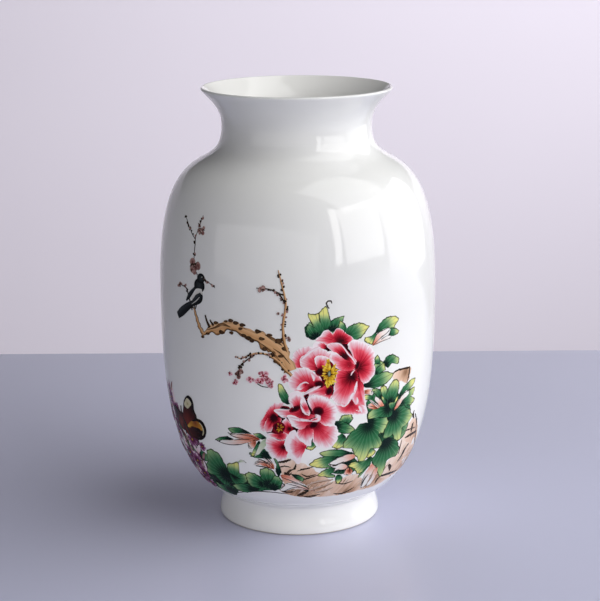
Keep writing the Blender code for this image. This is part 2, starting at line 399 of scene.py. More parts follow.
# each enamel: colours from the stroke's start to its end, rim colour, rim width in mm and how strong it is,
# streak strength, streaks per mm, and how much a stroke's own tone shifts it
enamels = {
    "petalRose": (
        [(0, (0.025, 0.001, 0.004)), (0.11, (0.22, 0.004, 0.013)), (0.26, (0.57, 0.018, 0.042)),
         (0.46, (0.76, 0.080, 0.122)), (0.64, (0.80, 0.26, 0.32)), (0.83, (0.82, 0.50, 0.56)),
         (0.98, (0.90, 0.80, 0.84))],
        (0.92, 0.86, 0.89), 0.65, 0.85, 0.50, 1.0, 0.40),
    "petalCurl": (
        [(0, (0.72, 0.36, 0.45)), (0.3, (0.84, 0.68, 0.74)), (0.8, (0.86, 0.78, 0.82)),
         (1, (0.80, 0.55, 0.62))],
        (0.70, 0.30, 0.40), 0.15, 0.4, 0.3, 1.0, 0.2),
    "hollowMaroon": (
        [(0, (0.16, 0.003, 0.012)), (0.35, (0.035, 0.001, 0.005)), (1, (0.012, 0.001, 0.003))],
        (0.30, 0.006, 0.02), 0.7, 0.7, 0.4, 1.0, 0.2),
    "stamenGold": (
        [(0, (0.32, 0.13, 0.01)), (0.6, (0.80, 0.52, 0.03)), (1, (0.88, 0.72, 0.14))],
        (0.45, 0.20, 0.01), 0.2, 0.6, 0.3, 2.0, 0.5),
    "pistilGrey": (
        [(0, (0.10, 0.09, 0.03)), (1, (0.36, 0.42, 0.34))],
        (0.05, 0.04, 0.01), 0.3, 0.6, 0.8, 1.5, 0.3),
    "budSalmon": (
        [(0, (0.26, 0.04, 0.02)), (0.25, (0.70, 0.23, 0.14)), (0.5, (0.80, 0.50, 0.42)),
         (0.72, (0.82, 0.72, 0.68)), (1, (0.84, 0.82, 0.80))],
        (0.014, 0.010, 0.008), 0.55, 0.9, 0.85, 0.9, 0.5),
    "barkTan": (
        [(0, (0.12, 0.055, 0.02)), (0.28, (0.54, 0.28, 0.12)), (0.7, (0.72, 0.44, 0.23)),
         (1, (0.30, 0.15, 0.07))],
        (0.04, 0.02, 0.010), 0.45, 0.85, 1.2, 0.7, 0.3),
    "mossBrown": (
        [(0, (0.10, 0.05, 0.02)), (0.4, (0.040, 0.022, 0.012)), (1, (0.022, 0.014, 0.010))],
        (0.16, 0.075, 0.03), 0.3, 0.6, 0.9, 1.5, 0.5),
    "inkBrown": (
        [(0, (0.018, 0.011, 0.007)), (1, (0.06, 0.038, 0.026))],
        (0.012, 0.008, 0.006), 0.2, 0.5, 0.6, 1.5, 0.6),
    "plumPink": (
        [(0, (0.80, 0.54, 0.58)), (0.5, (0.64, 0.23, 0.29)), (1, (0.28, 0.04, 0.06))],
        (0.80, 0.58, 0.64), 0.4, 0.5, 0.8, 1.5, 0.9),
    "plumBrown": (
        [(0, (0.42, 0.27, 0.24)), (0.5, (0.24, 0.11, 0.10)), (1, (0.07, 0.03, 0.03))],
        (0.10, 0.05, 0.045), 0.3, 0.5, 0.9, 1.5, 0.9),
    "featherBlack": (
        [(0, (0.004, 0.005, 0.006)), (1, (0.035, 0.04, 0.045))],
        (0.006, 0.006, 0.006), 0.4, 0.6, 0.7, 2.5, 0.4),
    "featherWhite": (
        [(0, (0.50, 0.49, 0.46)), (1, (0.78, 0.77, 0.75))],
        (0.30, 0.29, 0.27), 0.3, 0.5, 0.4, 2.0, 0.3),
    "wingBrown": (
        [(0, (0.17, 0.022, 0.012)), (0.4, (0.055, 0.007, 0.006)), (0.7, (0.012, 0.004, 0.004)),
         (1, (0.006, 0.003, 0.003))],
        (0.004, 0.002, 0.002), 0.9, 0.95, 0.5, 1.2, 0.4),
    "wingGold": (
        [(0, (0.20, 0.045, 0.014)), (0.45, (0.46, 0.20, 0.022)), (0.8, (0.62, 0.38, 0.06)),
         (1, (0.66, 0.46, 0.13))],
        (0.16, 0.035, 0.010), 0.7, 0.9, 0.35, 1.0, 0.3),
    "wingCream": (
        [(0, (0.30, 0.25, 0.11)), (0.3, (0.60, 0.55, 0.36)), (1, (0.64, 0.61, 0.47))],
        (0.30, 0.24, 0.10), 0.2, 0.5, 0.4, 1.0, 0.2),
    "asterPurple": (
        [(0, (0.035, 0.006, 0.020)), (0.45, (0.15, 0.022, 0.085)), (0.8, (0.40, 0.16, 0.33)),
         (1, (0.70, 0.58, 0.68))],
        (0.10, 0.02, 0.06), 0.22, 0.6, 0.6, 2.0, 0.8),
    "rockTan": (
        [(0, (0.27, 0.145, 0.08)), (0.3, (0.58, 0.36, 0.24)), (0.6, (0.76, 0.53, 0.40)),
         (1, (0.86, 0.70, 0.60))],
        (0.84, 0.71, 0.62), 0.8, 0.5, 1.1, 0.5, 0.55),
    "leafPale": (
        [(0, (0.10, 0.25, 0.12)), (0.35, (0.50, 0.58, 0.42)), (1, (0.80, 0.80, 0.74))],
        (0.008, 0.022, 0.014), 0.4, 0.85, 0.6, 1.0, 0.2),
}
# where a colour or line comes in: depths it fades between, or shares of the way from one vein to the next
leafEnamel = {
    "streak": 0.24,
    "streakScale": 1.1,
    "toneShift": 0.22,
    "deep": (0.002, 0.011, 0.010),
    "green": (0.030, 0.160, 0.065),
    "greenFrom": (0.08, 0.42),
    "pale": (0.30, 0.50, 0.24),
    "paleFrom": (0.40, 0.85),
    "yellow": (0.76, 0.74, 0.24),
    "yellowFrom": (0.56, 0.95),
    "yellowLeast": 0.2,
    "vein": (0.22, 0.42, 0.27),
    "veinsPerMm": 0.17,
    "veinWidth": (0.01, 0.06),
    "veinFrom": (0.05, 0.4),
    "veinStrength": (0.1, 0.4),
    "ink": (0.004, 0.016, 0.010),
    "inkFrom": (0.43, 0.5),
    "inkStrength": 0.6,
    "outline": 1.0,  # mm
    "outlineStrength": 0.95,
}
brushTone = brushToneGroup()


def startEnamel(name, streak, streakScale, toneShift, rimWidth):
    material, tree, shader = newMaterial(name)
    brush = tree.nodes.new("ShaderNodeGroup")
    brush.node_tree = brushTone
    values = {"Streak": streak, "Streak Scale": streakScale, "Tone Shift": toneShift, "Rim Width": rimWidth}
    for socket, value in values.items():
        brush.inputs[socket].default_value = value
    roughness = addFade(tree, brush.outputs["Depth"], 0.0, 1.0, *brushMark["roughness"])
    tree.links.new(roughness, shader.inputs["Roughness"])
    shader.inputs["Specular IOR Level"].default_value = brushMark["specular"]
    return material, tree, shader, brush.outputs


def enamelMaterial(name, colours, rimColour, rimWidth, rimStrength, streak, streakScale, toneShift):
    material, tree, shader, brush = startEnamel(name, streak, streakScale, toneShift, rimWidth)
    ramp = tree.nodes.new("ShaderNodeValToRGB")
    stops = ramp.color_ramp.elements
    while len(stops) < len(colours):
        stops.new(0.5)
    for stop, (at, colour) in zip(stops, colours):
        stop.position, stop.color = at, (*colour, 1)
    tree.links.new(brush["Depth"], ramp.inputs["Fac"])
    mask = addMath(tree, "MULTIPLY", brush["Rim"], rimStrength)
    tree.links.new(addBlend(tree, mask, ramp.outputs["Color"], rimColour), shader.inputs["Base Color"])
    return material


def leafMaterial(name):
    s = leafEnamel
    material, tree, shader, brush = startEnamel(
        name, s["streak"], s["streakScale"], s["toneShift"], s["outline"])
    depth = brush["Depth"]
    colour = addBlend(tree, addFade(tree, depth, *s["greenFrom"]), s["deep"], s["green"])
    colour = addBlend(tree, addFade(tree, depth, *s["paleFrom"]), colour, s["pale"])
    ripe = addMath(tree, "ADD", brush["Tone"], s["yellowLeast"])
    ripe = addMath(tree, "MULTIPLY", addFade(tree, depth, *s["yellowFrom"]), ripe, clamp=True)
    colour = addBlend(tree, ripe, colour, s["yellow"])
    # fine pale veins run out from the root, with a dark line between them
    rows = addMath(tree, "MULTIPLY", brush["Across"], s["veinsPerMm"])
    rows = addMath(tree, "FRACT", addMath(tree, "ADD", rows, 0.5))
    row = addMath(tree, "ABSOLUTE", addMath(tree, "SUBTRACT", rows, 0.5))
    reach = addFade(tree, brush["Along"], *s["veinFrom"], *s["veinStrength"])
    pale = addMath(tree, "MULTIPLY", addFade(tree, row, *s["veinWidth"], 1.0, 0.0), reach)
    colour = addBlend(tree, pale, colour, s["vein"])
    colour = addBlend(tree, addFade(tree, row, *s["inkFrom"], 0.0, s["inkStrength"]), colour, s["ink"])
    outline = addMath(tree, "MULTIPLY", brush["Rim"], s["outlineStrength"])
    tree.links.new(addBlend(tree, outline, colour, s["ink"]), shader.inputs["Base Color"])
    return material


pots = {name: enamelMaterial(name, *values) for name, values in enamels.items()}
pots["leafGreen"] = leafMaterial("leafGreen")
print("enamels mixed:", len(pots))

# strokes lie on the wall in millimetres: "around" along the belly's widest circle from the front,
# "rise" up the wall from the foot, and each stroke is a layer above those it covers
brushwork = {
    "firstLift": 0.02,
    "layerStep": 0.006,
    "fusedDepth": 0.4,  # the enamel reaches into the glaze
    "cell": 1.5,
    "smoothAngle": 50,
    "seed": 11,
    "shapeGrid": (20, 20),
    "ribbonGrid": (4, 6),  # across, and along for each point
    "discGrid": (8, 8),
    "smallGrid": (4, 4),
    "smallDisc": 2.5,
    "bladeGrid": (2, 5),
}
wallRise = travelAlong(outside) * 1000
girth = vaseShape["bellyRadius"] * 1000
hand = random.Random(brushwork["seed"])
blanks, strokes, topLayer = {}, [], {}


def wallPlace(around, rise, lift):
    radius, height, outX, outZ = (np.interp(rise, wallRise, line) for line in (*outside.T, *outward.T))
    turn = around / girth
    reach = radius + outX * lift / 1000
    return np.stack([reach * np.sin(turn), -reach * np.cos(turn), height + outZ * lift / 1000], axis=1)


def widen(rise):
    return girth / (np.interp(rise, wallRise, outside[:, 0]) * 1000)


def blankStroke(columns, rows):
    # one flat grid for each stroke size, copied for every stroke
    if (columns, rows) not in blanks:
        bpy.ops.object.select_all(action="DESELECT")
        bpy.ops.mesh.primitive_grid_add(x_subdivisions=columns, y_subdivisions=rows, size=2)
        blanks[columns, rows] = bpy.context.object
    return blanks[columns, rows].data.copy()


def nextLayer(around, rise):
    columns, rows = ((line // brushwork["cell"]).astype(int).tolist() for line in (around, rise))
    cells = set(zip(columns, rows))
    near = {(a + i, r + j) for a, r in cells for i in (-1, 0, 1) for j in (-1, 0, 1)}
    layer = 1 + max(topLayer.get(cell, -1) for cell in near)
    topLayer.update((cell, layer) for cell in cells)
    return layer


def layStroke(form, grid, pot, tone, spot=None, heading=90):
    mesh = blankStroke(*grid)
    flat = np.empty(3 * len(mesh.vertices))
    mesh.vertices.foreach_get("co", flat)
    x, y, paintAcross, paintAlong, edge = form(flat[0::3], (flat[1::3] + 1) / 2)
    if spot:
        c, s = math.cos(math.radians(heading)), math.sin(math.radians(heading))
        x, y = spot[0] + (y * c + x * s) * widen(spot[1]), spot[1] + y * s - x * c
    lift = brushwork["firstLift"] + nextLayer(x, y) * brushwork["layerStep"]
    mesh.vertices.foreach_set("co", wallPlace(x, y, lift).ravel())
    paint = np.stack([paintAcross, paintAlong, np.full_like(x, tone)], axis=1)
    mesh.attributes.new("paint", "FLOAT_VECTOR", "POINT").data.foreach_set("vector", paint.ravel())
    mesh.attributes.new("edge", "FLOAT", "POINT").data.foreach_set("value", edge)
    mesh.materials.append(pots[pot])
    mesh.update()
    stroke = bpy.data.objects.new("stroke", mesh)
    bpy.context.collection.objects.link(stroke)
    strokes.append(stroke)


def finishMotif(name):
    bpy.ops.object.select_all(action="DESELECT")
    for stroke in strokes:
        stroke.select_set(True)
    bpy.context.view_layer.objects.active = strokes[0]
    bpy.ops.object.join()
    motif = bpy.context.object
    motif.name = motif.data.name = name
    shell = motif.modifiers.new("enamel", "SOLIDIFY")
    shell.thickness = brushwork["fusedDepth"] / 1000
    shell.offset = -1
    bpy.ops.object.modifier_apply(modifier=shell.name)
    bpy.ops.object.shade_smooth_by_angle(angle=math.radians(brushwork["smoothAngle"]))
    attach(motif, "root")
    print(name, "painted:", len(strokes), "strokes,", len(motif.data.polygons), "faces")
    strokes.clear()


# a blade swells from a blunt start and narrows to its tip
bladeShape = {"start": 0.02, "span": 0.96, "lean": 0.85, "swell": 0.85, "least": 0.05, "bend": 0.12}


def bladeForm(length, half, bend):
    b = bladeShape

    def form(across, along):
        across = np.sin(across * math.pi / 2)
        swell = np.sin(math.pi * (b["start"] + b["span"] * along) ** b["lean"]) ** b["swell"]
        width = length * half * swell + b["least"]
        middle = bend * length * along ** 2
        return middle + width * across, length * along, across, along, width * (1 - np.abs(across))
    return form


def discForm(wide, tall):
    def form(across, along):
        a, b = across, 2 * along - 1
        x, y = a * np.sqrt(1 - b * b / 2), b * np.sqrt(1 - a * a / 2)
        rho = np.hypot(x, y)
        return x * wide, y * tall, x * wide, 1 - rho, (1 - rho) * min(wide, tall)
    return form


def smoothThrough(points, at, closed=False, bend=0.5):
    # a curve through all the points, from the first at 0 to the last at 1, or round to the first again;
    # a smaller bend makes its corners sharper
    p = np.array(points, float)
    count = len(p) if closed else len(p) - 1
    place = np.clip(at, 0, 1) * count
    i = np.minimum(place.astype(int), count - 1)
    f = (place - i)[:, None]
    near = (k % len(p) if closed else np.clip(k, 0, count) for k in (i - 1, i, i + 1, i + 2))
    a, b, c, d = (p[k] for k in near)
    leave, arrive = bend * (c - a), bend * (d - b)
    return b + f * (leave + f * (3 * (c - b) - 2 * leave - arrive + f * (2 * (b - c) + leave + arrive)))


# a knotty ribbon has wide and fine waves, out of step on its two sides
ribbonKnots = {"wide": 29, "fine": 67, "fineShare": 0.8, "outOfStep": 2.2, "probe": 0.01}


def ribbonForm(points, knots=0.0):
    k = ribbonKnots

    def form(across, along):
        x, y, half = smoothThrough(points, along).T
        run = smoothThrough(points, along + k["probe"]) - smoothThrough(points, along - k["probe"])
        runX, runY = run[:, 0] / widen(y), run[:, 1]
        size = np.hypot(runX, runY) + 1e-9
        bank = k["outOfStep"] * np.sign(across)
        waves = np.sin(k["wide"] * along + bank) + k["fineShare"] * np.sin(k["fine"] * along + 2 * bank)
        half = half * (1 + knots * waves)
        return (x + runY / size * half * across * widen(y), y - runX / size * half * across,
                across * half, (across + 1) / 2, half * (1 - np.abs(across)))
    return form


# a ruffled rim's scallops and teeth, how the paint deepens from the root, and where the rim line gives way
outlineShape = {
    "ringPoints": 500,
    "scallops": 5.5,
    "scallopShare": 1.6,
    "teeth": 19,
    "toothShare": 0.4,
    "toothPhase": 2.3,
    "fadeVary": (0.6, 1.3),
    "phases": (0, 6),
    "depthStart": 0.07,
    "depthGain": 1.6,
    "innerFade": 0.48,
    "streakPhase": 9,
    "rootClear": 0.45,
    "rootWidth": 0.6,
}


def outlineForm(points, root, fade, ruffle, phase, slant, bend):
    # a petal, leaf or stone inside a closed line, painted from its root out to its rim, or along a slant
    o = outlineShape
    squeeze = np.array([1 / widen(np.mean(points, axis=0)[1]), 1])
    ring = smoothThrough(points, np.linspace(0, 1, o["ringPoints"]), closed=True, bend=bend) * squeeze
    root = np.array(root) * squeeze
    centre = ring.mean(axis=0)
    way = ring - centre
    bearing = np.unwrap(np.arctan2(way[:, 1], way[:, 0]))
    if bearing[-1] < bearing[0]:
        way, bearing = way[::-1], bearing[::-1]
    ahead = bearing >= np.maximum.accumulate(bearing)
    bearing, reaches = bearing[ahead], np.hypot(*way[ahead].T)
    far = np.hypot(*(ring - root).T).max()
    front = math.atan2(centre[1] - root[1], centre[0] - root[0])

    def form(across, along):
        x, y, _, inner, _ = discForm(1, 1)(across, along)
        theta = np.arctan2(y, x)
        reach = np.interp(theta, bearing, reaches, period=2 * math.pi)
        scallop = o["scallopShare"] * np.abs(np.sin(o["scallops"] * theta + phase)) - 1
        tooth = o["toothShare"] * np.sin(o["teeth"] * theta + o["toothPhase"] * phase)
        reach = reach * (1 + ruffle * (scallop + tooth))
        rho = np.sin((1 - inner) * math.pi / 2)  # rows crowd towards the rim
        x, y = centre[0] + rho * reach * np.cos(theta), centre[1] + rho * reach * np.sin(theta)
        toRim = (1 - rho) * reach
        toRoot = np.hypot(x - root[0], y - root[1]) / far
        turn = (np.arctan2(y - root[1], x - root[0]) - front + math.pi) % (2 * math.pi) - math.pi
        depth, side = toRoot, turn * far
        if fade is not None:
            depth = np.clip(o["depthGain"] * (toRoot - o["depthStart"]), 0, 1)
            depth = depth * (1 - o["innerFade"] * np.clip(toRim / fade, 0, 1))
        if slant is not None:
            lean = math.radians(slant)
            side = (x - root[0]) * math.sin(lean) - (y - root[1]) * math.cos(lean)
        rim = toRim + o["rootWidth"] * far * np.clip(o["rootClear"] - toRoot, 0, 1)
        return x / squeeze[0], y, side + o["streakPhase"] * phase, depth, rim
    return form


def layShapes(rows, pot, fade=None, ruffle=0.0, slant=None, bend=0.5):
    for tone, root, points in rows:
        reach = fade and fade * hand.uniform(*outlineShape["fadeVary"])
        form = outlineForm(points, root, reach, ruffle, hand.uniform(*outlineShape["phases"]), slant, bend)
        layStroke(form, brushwork["shapeGrid"], pot, tone)


def layBlade(spot, heading, length, half, pot, tone, grid=brushwork["bladeGrid"]):
    bend = hand.uniform(-bladeShape["bend"], bladeShape["bend"])
    layStroke(bladeForm(length, half, bend), grid, pot, tone, spot, heading)


def layDisc(spot, wide, tall, pot, tone, heading=90):
    grid = "smallGrid" if max(wide, tall) < brushwork["smallDisc"] else "discGrid"
    layStroke(discForm(wide, tall), brushwork[grid], pot, tone, spot, heading)


def layRibbon(points, pot, tone, knots=0.0):
    columns, rows = brushwork["ribbonGrid"]
    layStroke(ribbonForm(points, knots), (columns, rows * len(points)), pot, tone)


# shares of the flower's heart
stamenBrush = {
    "ground": 0.9,
    "groundTone": 0.5,
    "start": (0.1, 0.75),
    "length": (0.3, 0.5),
    "least": 0.4,  # mm
    "sway": 25,
    "half": 0.2,
    "ripeFrom": 0.5,
    "pistil": 0.26,
    "pistilTone": 0.5,
}


def layStamens(centre, wide, tall, count, ripe):
    s = stamenBrush
    layDisc(centre, s["ground"] * wide, s["ground"] * tall, "hollowMaroon", s["groundTone"])
    for i in range(count):
        turn, start = hand.uniform(0, 2 * math.pi), hand.uniform(*s["start"])
        reach = (wide * math.cos(turn), tall * math.sin(turn))
        spot = (centre[0] + start * reach[0], centre[1] + start * reach[1])
        length = math.hypot(*reach) * hand.uniform(*s["length"]) + s["least"]
        heading = math.degrees(turn) + hand.uniform(-s["sway"], s["sway"])
        layBlade(spot, heading, length, s["half"], "stamenGold", ripe * hand.random())
    if ripe > s["ripeFrom"]:
        layDisc(centre, s["pistil"] * wide, s["pistil"] * tall, "pistilGrey", s["pistilTone"])


# shares of the blossom's size
blossomBrush = {
    "petals": 8,
    "out": (0.15, 0.8),
    "wide": (0.2, 0.48),
    "tall": (0.7, 1.2),  # of the petal's width
    "toneVary": 0.7,
    "pinkFrom": 0.5,
    "threads": 6,
    "threadStart": 0.3,
    "threadLength": (0.3, 0.7),
    "threadHalf": 0.13,
    "threadTone": 0.6,
}


def layBlossom(spot, size, tone):
    b = blossomBrush
    petalPot, threadPot = ("plumPink", "hollowMaroon") if tone > b["pinkFrom"] else ("plumBrown", "inkBrown")
    for k in range(b["petals"]):
        turn, out = hand.uniform(0, 2 * math.pi), size * hand.uniform(*b["out"])
        petal = (spot[0] + out * math.cos(turn), spot[1] + out * math.sin(turn))
        wide = size * hand.uniform(*b["wide"])
        tall, shift = wide * hand.uniform(*b["tall"]), hand.uniform(-b["toneVary"], b["toneVary"])
        layDisc(petal, wide, tall, petalPot, tone + shift, math.degrees(turn))
    for k in range(b["threads"]):
        start = [place + size * hand.uniform(-b["threadStart"], b["threadStart"]) for place in spot]
        heading, length = hand.uniform(0, 360), size * hand.uniform(*b["threadLength"])
        layBlade(start, heading, length, b["threadHalf"], threadPot, b["threadTone"])


# mm, and shares of the bud's size
budBrush = {
    "size": 0.75,
    "from": 0.08,  # of the twig's length
    "gap": 0.4,
    "stray": 0.4,
    "wide": (0.55, 1.15),
    "tall": 0.8,  # of the bud's width
    "pots": ("inkBrown", "inkBrown", "plumBrown"),
    "tones": (0, 0.5),
}


def layBuds(points, count):
    b = budBrush
    for i in range(count):
        x, y, half = smoothThrough(points, np.array([hand.uniform(b["from"], 1)]))[0]
        off = (half + b["gap"]) * hand.choice((-1, 1))
        wide = b["size"] * hand.uniform(*b["wide"])
        spot = (x + off, y + hand.uniform(-b["stray"], b["stray"]))
        pot, tone, heading = hand.choice(b["pots"]), hand.uniform(*b["tones"]), hand.uniform(0, 180)
        layDisc(spot, wide, b["tall"] * wide, pot, tone, heading)


def traced(rows):
    # an outlined shape is its tone, its root and its closed outline: around and rise in turn, in tenths of mm
    return [(tone, np.array(root) / 10, np.reshape(points, (-1, 2)) / 10) for tone, root, points in rows]


# a crack, stem or other line is a row of points in mm: around, rise, half width
rockery = {
    "faces": [
        (0.85, (918, 513), [803, 628, 840, 625, 903, 586, 959, 511, 1000, 450, 1077, 370, 925, 381,
         795, 389, 721, 415, 712, 463, 720, 521, 719, 570, 723, 607, 775, 602]),
        (0.85, (889, 302), [727, 515, 857, 459, 1077, 376, 1061, 335, 1033, 282, 872, 259, 764, 251,
         650, 273, 614, 342, 628, 388, 656, 423, 719, 427]),
        (0.45, (548, 307), [458, 299, 480, 412, 536, 395, 603, 311, 714, 273, 802, 258, 705, 225, 609, 213,
         515, 215, 459, 226]),
        (0.6, (349, 234), [238, 340, 289, 350, 351, 369, 420, 345, 463, 281, 506, 224, 416, 214, 329, 207,
         268, 206, 195, 213, 170, 259, 189, 315]),
        (0.5, (25, 291), [-121, 483, -60, 504, 0, 485, 73, 450, 125, 405, 195, 356, 210, 257, 84, 231,
         -31, 230, -85, 261, -105, 350, -119, 421]),
        (0.5, (686, 937), [569, 952, 608, 967, 724, 960, 722, 908, 699, 870, 644, 895, 606, 890, 580, 919]),
        (0.35, (16, 264), [-133, 270, -86, 299, -13, 289, 73, 304, 153, 287, 221, 248, 219, 210, 133, 211,
         37, 213, -15, 221, -86, 241]),
    ],
    "ruffle": 0.04,
    "slant": 62,
    "shadeStrokes": 48,
    "shadeArea": (  # low and high corners
        (-6, 27, 22, 36), (20, 25, 52, 33), (50, 28, 82, 40), (74, 36, 100, 56),
    ),
    "shadeLean": (10, 80),
    "shadeReach": (2, 5),
    "shadeHalf": (0.3, 0.8),
    "shadeEnd": 0.1,
    "shadeTone": (-0.9, 0.2),
    "streaks": [
        [(4.6, 31.3, 0.4), (11.8, 33.7, 1.1), (22.5, 34.9, 0.5)], [(6.8, 27.4, 0.5), (14.9, 29.5, 1.4),
        (22.8, 32.7, 0.5)], [(11.2, 25.4, 0.4), (17.5, 26.2, 1.0), (23.6, 28.5, 0.3)],
    ],
    "streakTone": -0.6,
    "cracks": [
        [(82.2, 67.8, 0.29), (81.1, 65.3, 0.88), (83.7, 62.4, 0.37)], [(88.5, 60.8, 0.59),
        (88.5, 59.2, 0.59)], [(83.8, 60.1, 0.37), (83.4, 57.4, 0.73), (83.8, 53.6, 0.37)],
        [(76.5, 52.1, 0.37), (82.0, 52.2, 0.88), (93.6, 51.7, 0.59)], [(84.5, 46.5, 0.37),
        (82.0, 44.1, 0.73), (79.7, 40.3, 1.03), (77.0, 36.3, 0.37)], [(84.4, 27.5, 0.29),
        (75.4, 28.3, 0.88), (61.0, 29.6, 0.44)], [(66.0, 37.0, 0.59), (69.0, 34.6, 1.17),
        (70.9, 31.3, 0.37)], [(62.4, 29.8, 0.29), (60.2, 27.5, 0.73), (60.3, 24.1, 0.29)],
        [(25.3, 22.7, 0.29), (32.5, 21.8, 0.66), (40.5, 25.9, 0.22)], [(73.2, 51.8, 0.22),
        (73.2, 46.6, 0.51), (74.0, 42.0, 0.22)], [(92.7, 51.0, 0.29), (97.6, 44.8, 0.59),
        (107.7, 37.2, 0.37)], [(103.1, 37.2, 0.29), (105.2, 31.9, 0.51), (93.9, 30.8, 0.29)],
        [(49.3, 35.9, 0.29), (48.6, 29.9, 0.73), (47.4, 23.3, 0.37)], [(24.3, 32.0, 0.22),
        (31.0, 30.4, 0.44), (37.3, 31.7, 0.15)], [(-12.6, 48.1, 0.48), (-8.7, 48.8, 0.8),
        (-4.8, 50.2, 0.48)], [(-9.0, 41.5, 0.32), (-8.1, 40.1, 1.12), (-6.0, 41.0, 0.48)],
        [(-13.3, 28.4, 0.4), (-10.2, 26.2, 0.72), (-4.6, 26.0, 0.4)], [(-11.7, 39.1, 0.24),
        (-8.3, 36.3, 0.72), (-4.1, 38.1, 0.24)], [(-11.2, 33.1, 0.32), (-6.5, 30.7, 0.64),
        (-1.2, 31.4, 0.24)], [(56.9, 95.1, 0.26), (61.2, 96.5, 0.52), (72.1, 95.8, 0.6)],
        [(71.8, 95.5, 0.52), (71.2, 91.1, 0.52), (69.6, 87.2, 0.26)], [(-8.5, 39.6, 0.26),
        (-5.7, 42.7, 0.52), (-1.9, 43.9, 0.26)], [(-4.6, 41.3, 0.17), (-6.1, 39.6, 0.43),
        (-8.6, 37.7, 0.17)], [(-14.8, 43.5, 0.17), (-9.3, 45.6, 0.43), (-5.1, 44.9, 0.17)],
        [(16.8, 136.9, 0.34), (15.4, 139.2, 0.43), (15.9, 140.8, 0.38), (17.7, 141.0, 0.38),
        (18.3, 139.6, 0.26)], [(-52.9, 18.0, 0.17), (-36.4, 23.5, 0.34), (-21.1, 25.2, 0.3),
        (-7.3, 24.2, 0.17)], [(-1.2, 24.3, 0.21), (6.6, 21.1, 0.43), (12.7, 22.2, 0.21)],
        [(92.8, 16.8, 0.21), (101.0, 24.7, 0.43), (107.2, 36.6, 0.26)], [(69.8, 55.9, 0.21),
        (76.5, 56.9, 0.43), (88.9, 55.4, 0.26)], [(84.0, 65.4, 0.32), (89.0, 58.7, 0.53),
        (91.9, 51.1, 0.26)], [(82.5, 59.7, 0.3), (82.5, 57.1, 0.6), (82.4, 54.6, 0.3)], [(77.9, 52.4, 0.3),
        (84.4, 52.6, 0.55), (92.5, 52.0, 0.4)], [(85.2, 45.5, 0.25), (80.7, 43.9, 0.6), (78.5, 38.8, 0.6),
        (76.4, 36.4, 0.25)], [(83.0, 27.7, 0.25), (70.8, 29.3, 0.5), (59.9, 30.2, 0.25)],
        [(81.1, 67.4, 0.3), (83.0, 63.2, 0.5)], [(0.6, 35.7, 0.3), (4.5, 36.7, 0.5), (11.5, 39.0, 0.25)],
        [(0.6, 43.6, 0.25), (5.0, 44.2, 0.35), (11.1, 45.6, 0.2)], [(-1.7, 22.6, 0.3), (2.8, 24.8, 1.0),
        (6.7, 27.4, 0.4)], [(-13.3, 27.3, 0.2), (-8.4, 26.0, 0.45), (-2.2, 27.4, 0.2)], [(3.7, 22.0, 0.2),
        (8.9, 22.3, 0.45), (15.2, 23.5, 0.2)], [(-7.9, 40.6, 0.3), (-6.0, 42.1, 0.7), (-4.5, 43.4, 0.3)],
        [(-3.8, 43.4, 0.2), (-2.4, 44.9, 0.6), (-1.8, 47.3, 0.2)], [(-1.1, 42.4, 0.2), (3.3, 43.6, 0.4),
        (6.8, 44.1, 0.2)], [(1.5, 40.4, 0.2), (5.2, 38.5, 0.5), (10.6, 39.7, 0.2)],
    ],
    "knots": 0.2,
    "flecks": [(-9.4, 31.0, 2.0, 0.5), (9.6, 27.0, 1.2, 0.4), (-22.5, 28.6, 0.9, 0.4)],
    "fleckTone": 0.3,
}
layShapes(traced(rockery["faces"]), "rockTan", ruffle=rockery["ruffle"], slant=rockery["slant"])
for i in range(rockery["shadeStrokes"]):
    left, low, right, high = rockery["shadeArea"][i % len(rockery["shadeArea"])]
    x, y = hand.uniform(left, right), hand.uniform(low, high)
    lean, reach = math.radians(hand.uniform(*rockery["shadeLean"])), hand.uniform(*rockery["shadeReach"])
    run, climb, thin = reach * math.cos(lean), reach * math.sin(lean), rockery["shadeEnd"]
    half, tone = hand.uniform(*rockery["shadeHalf"]), hand.uniform(*rockery["shadeTone"])
    shade = [(x - run, y - climb, thin), (x, y, half), (x + run, y + climb, thin)]
    layRibbon(shade, "rockTan", tone, rockery["knots"])
for streak in rockery["streaks"]:
    layRibbon(streak, "rockTan", rockery["streakTone"], rockery["knots"])
for crack in rockery["cracks"]:
    layRibbon(crack, "inkBrown", hand.random(), rockery["knots"])
for x, y, wide, tall in rockery["flecks"]:
    layDisc((x, y), wide, tall, "budSalmon", rockery["fleckTone"])
finishMotif("paintedRocks")

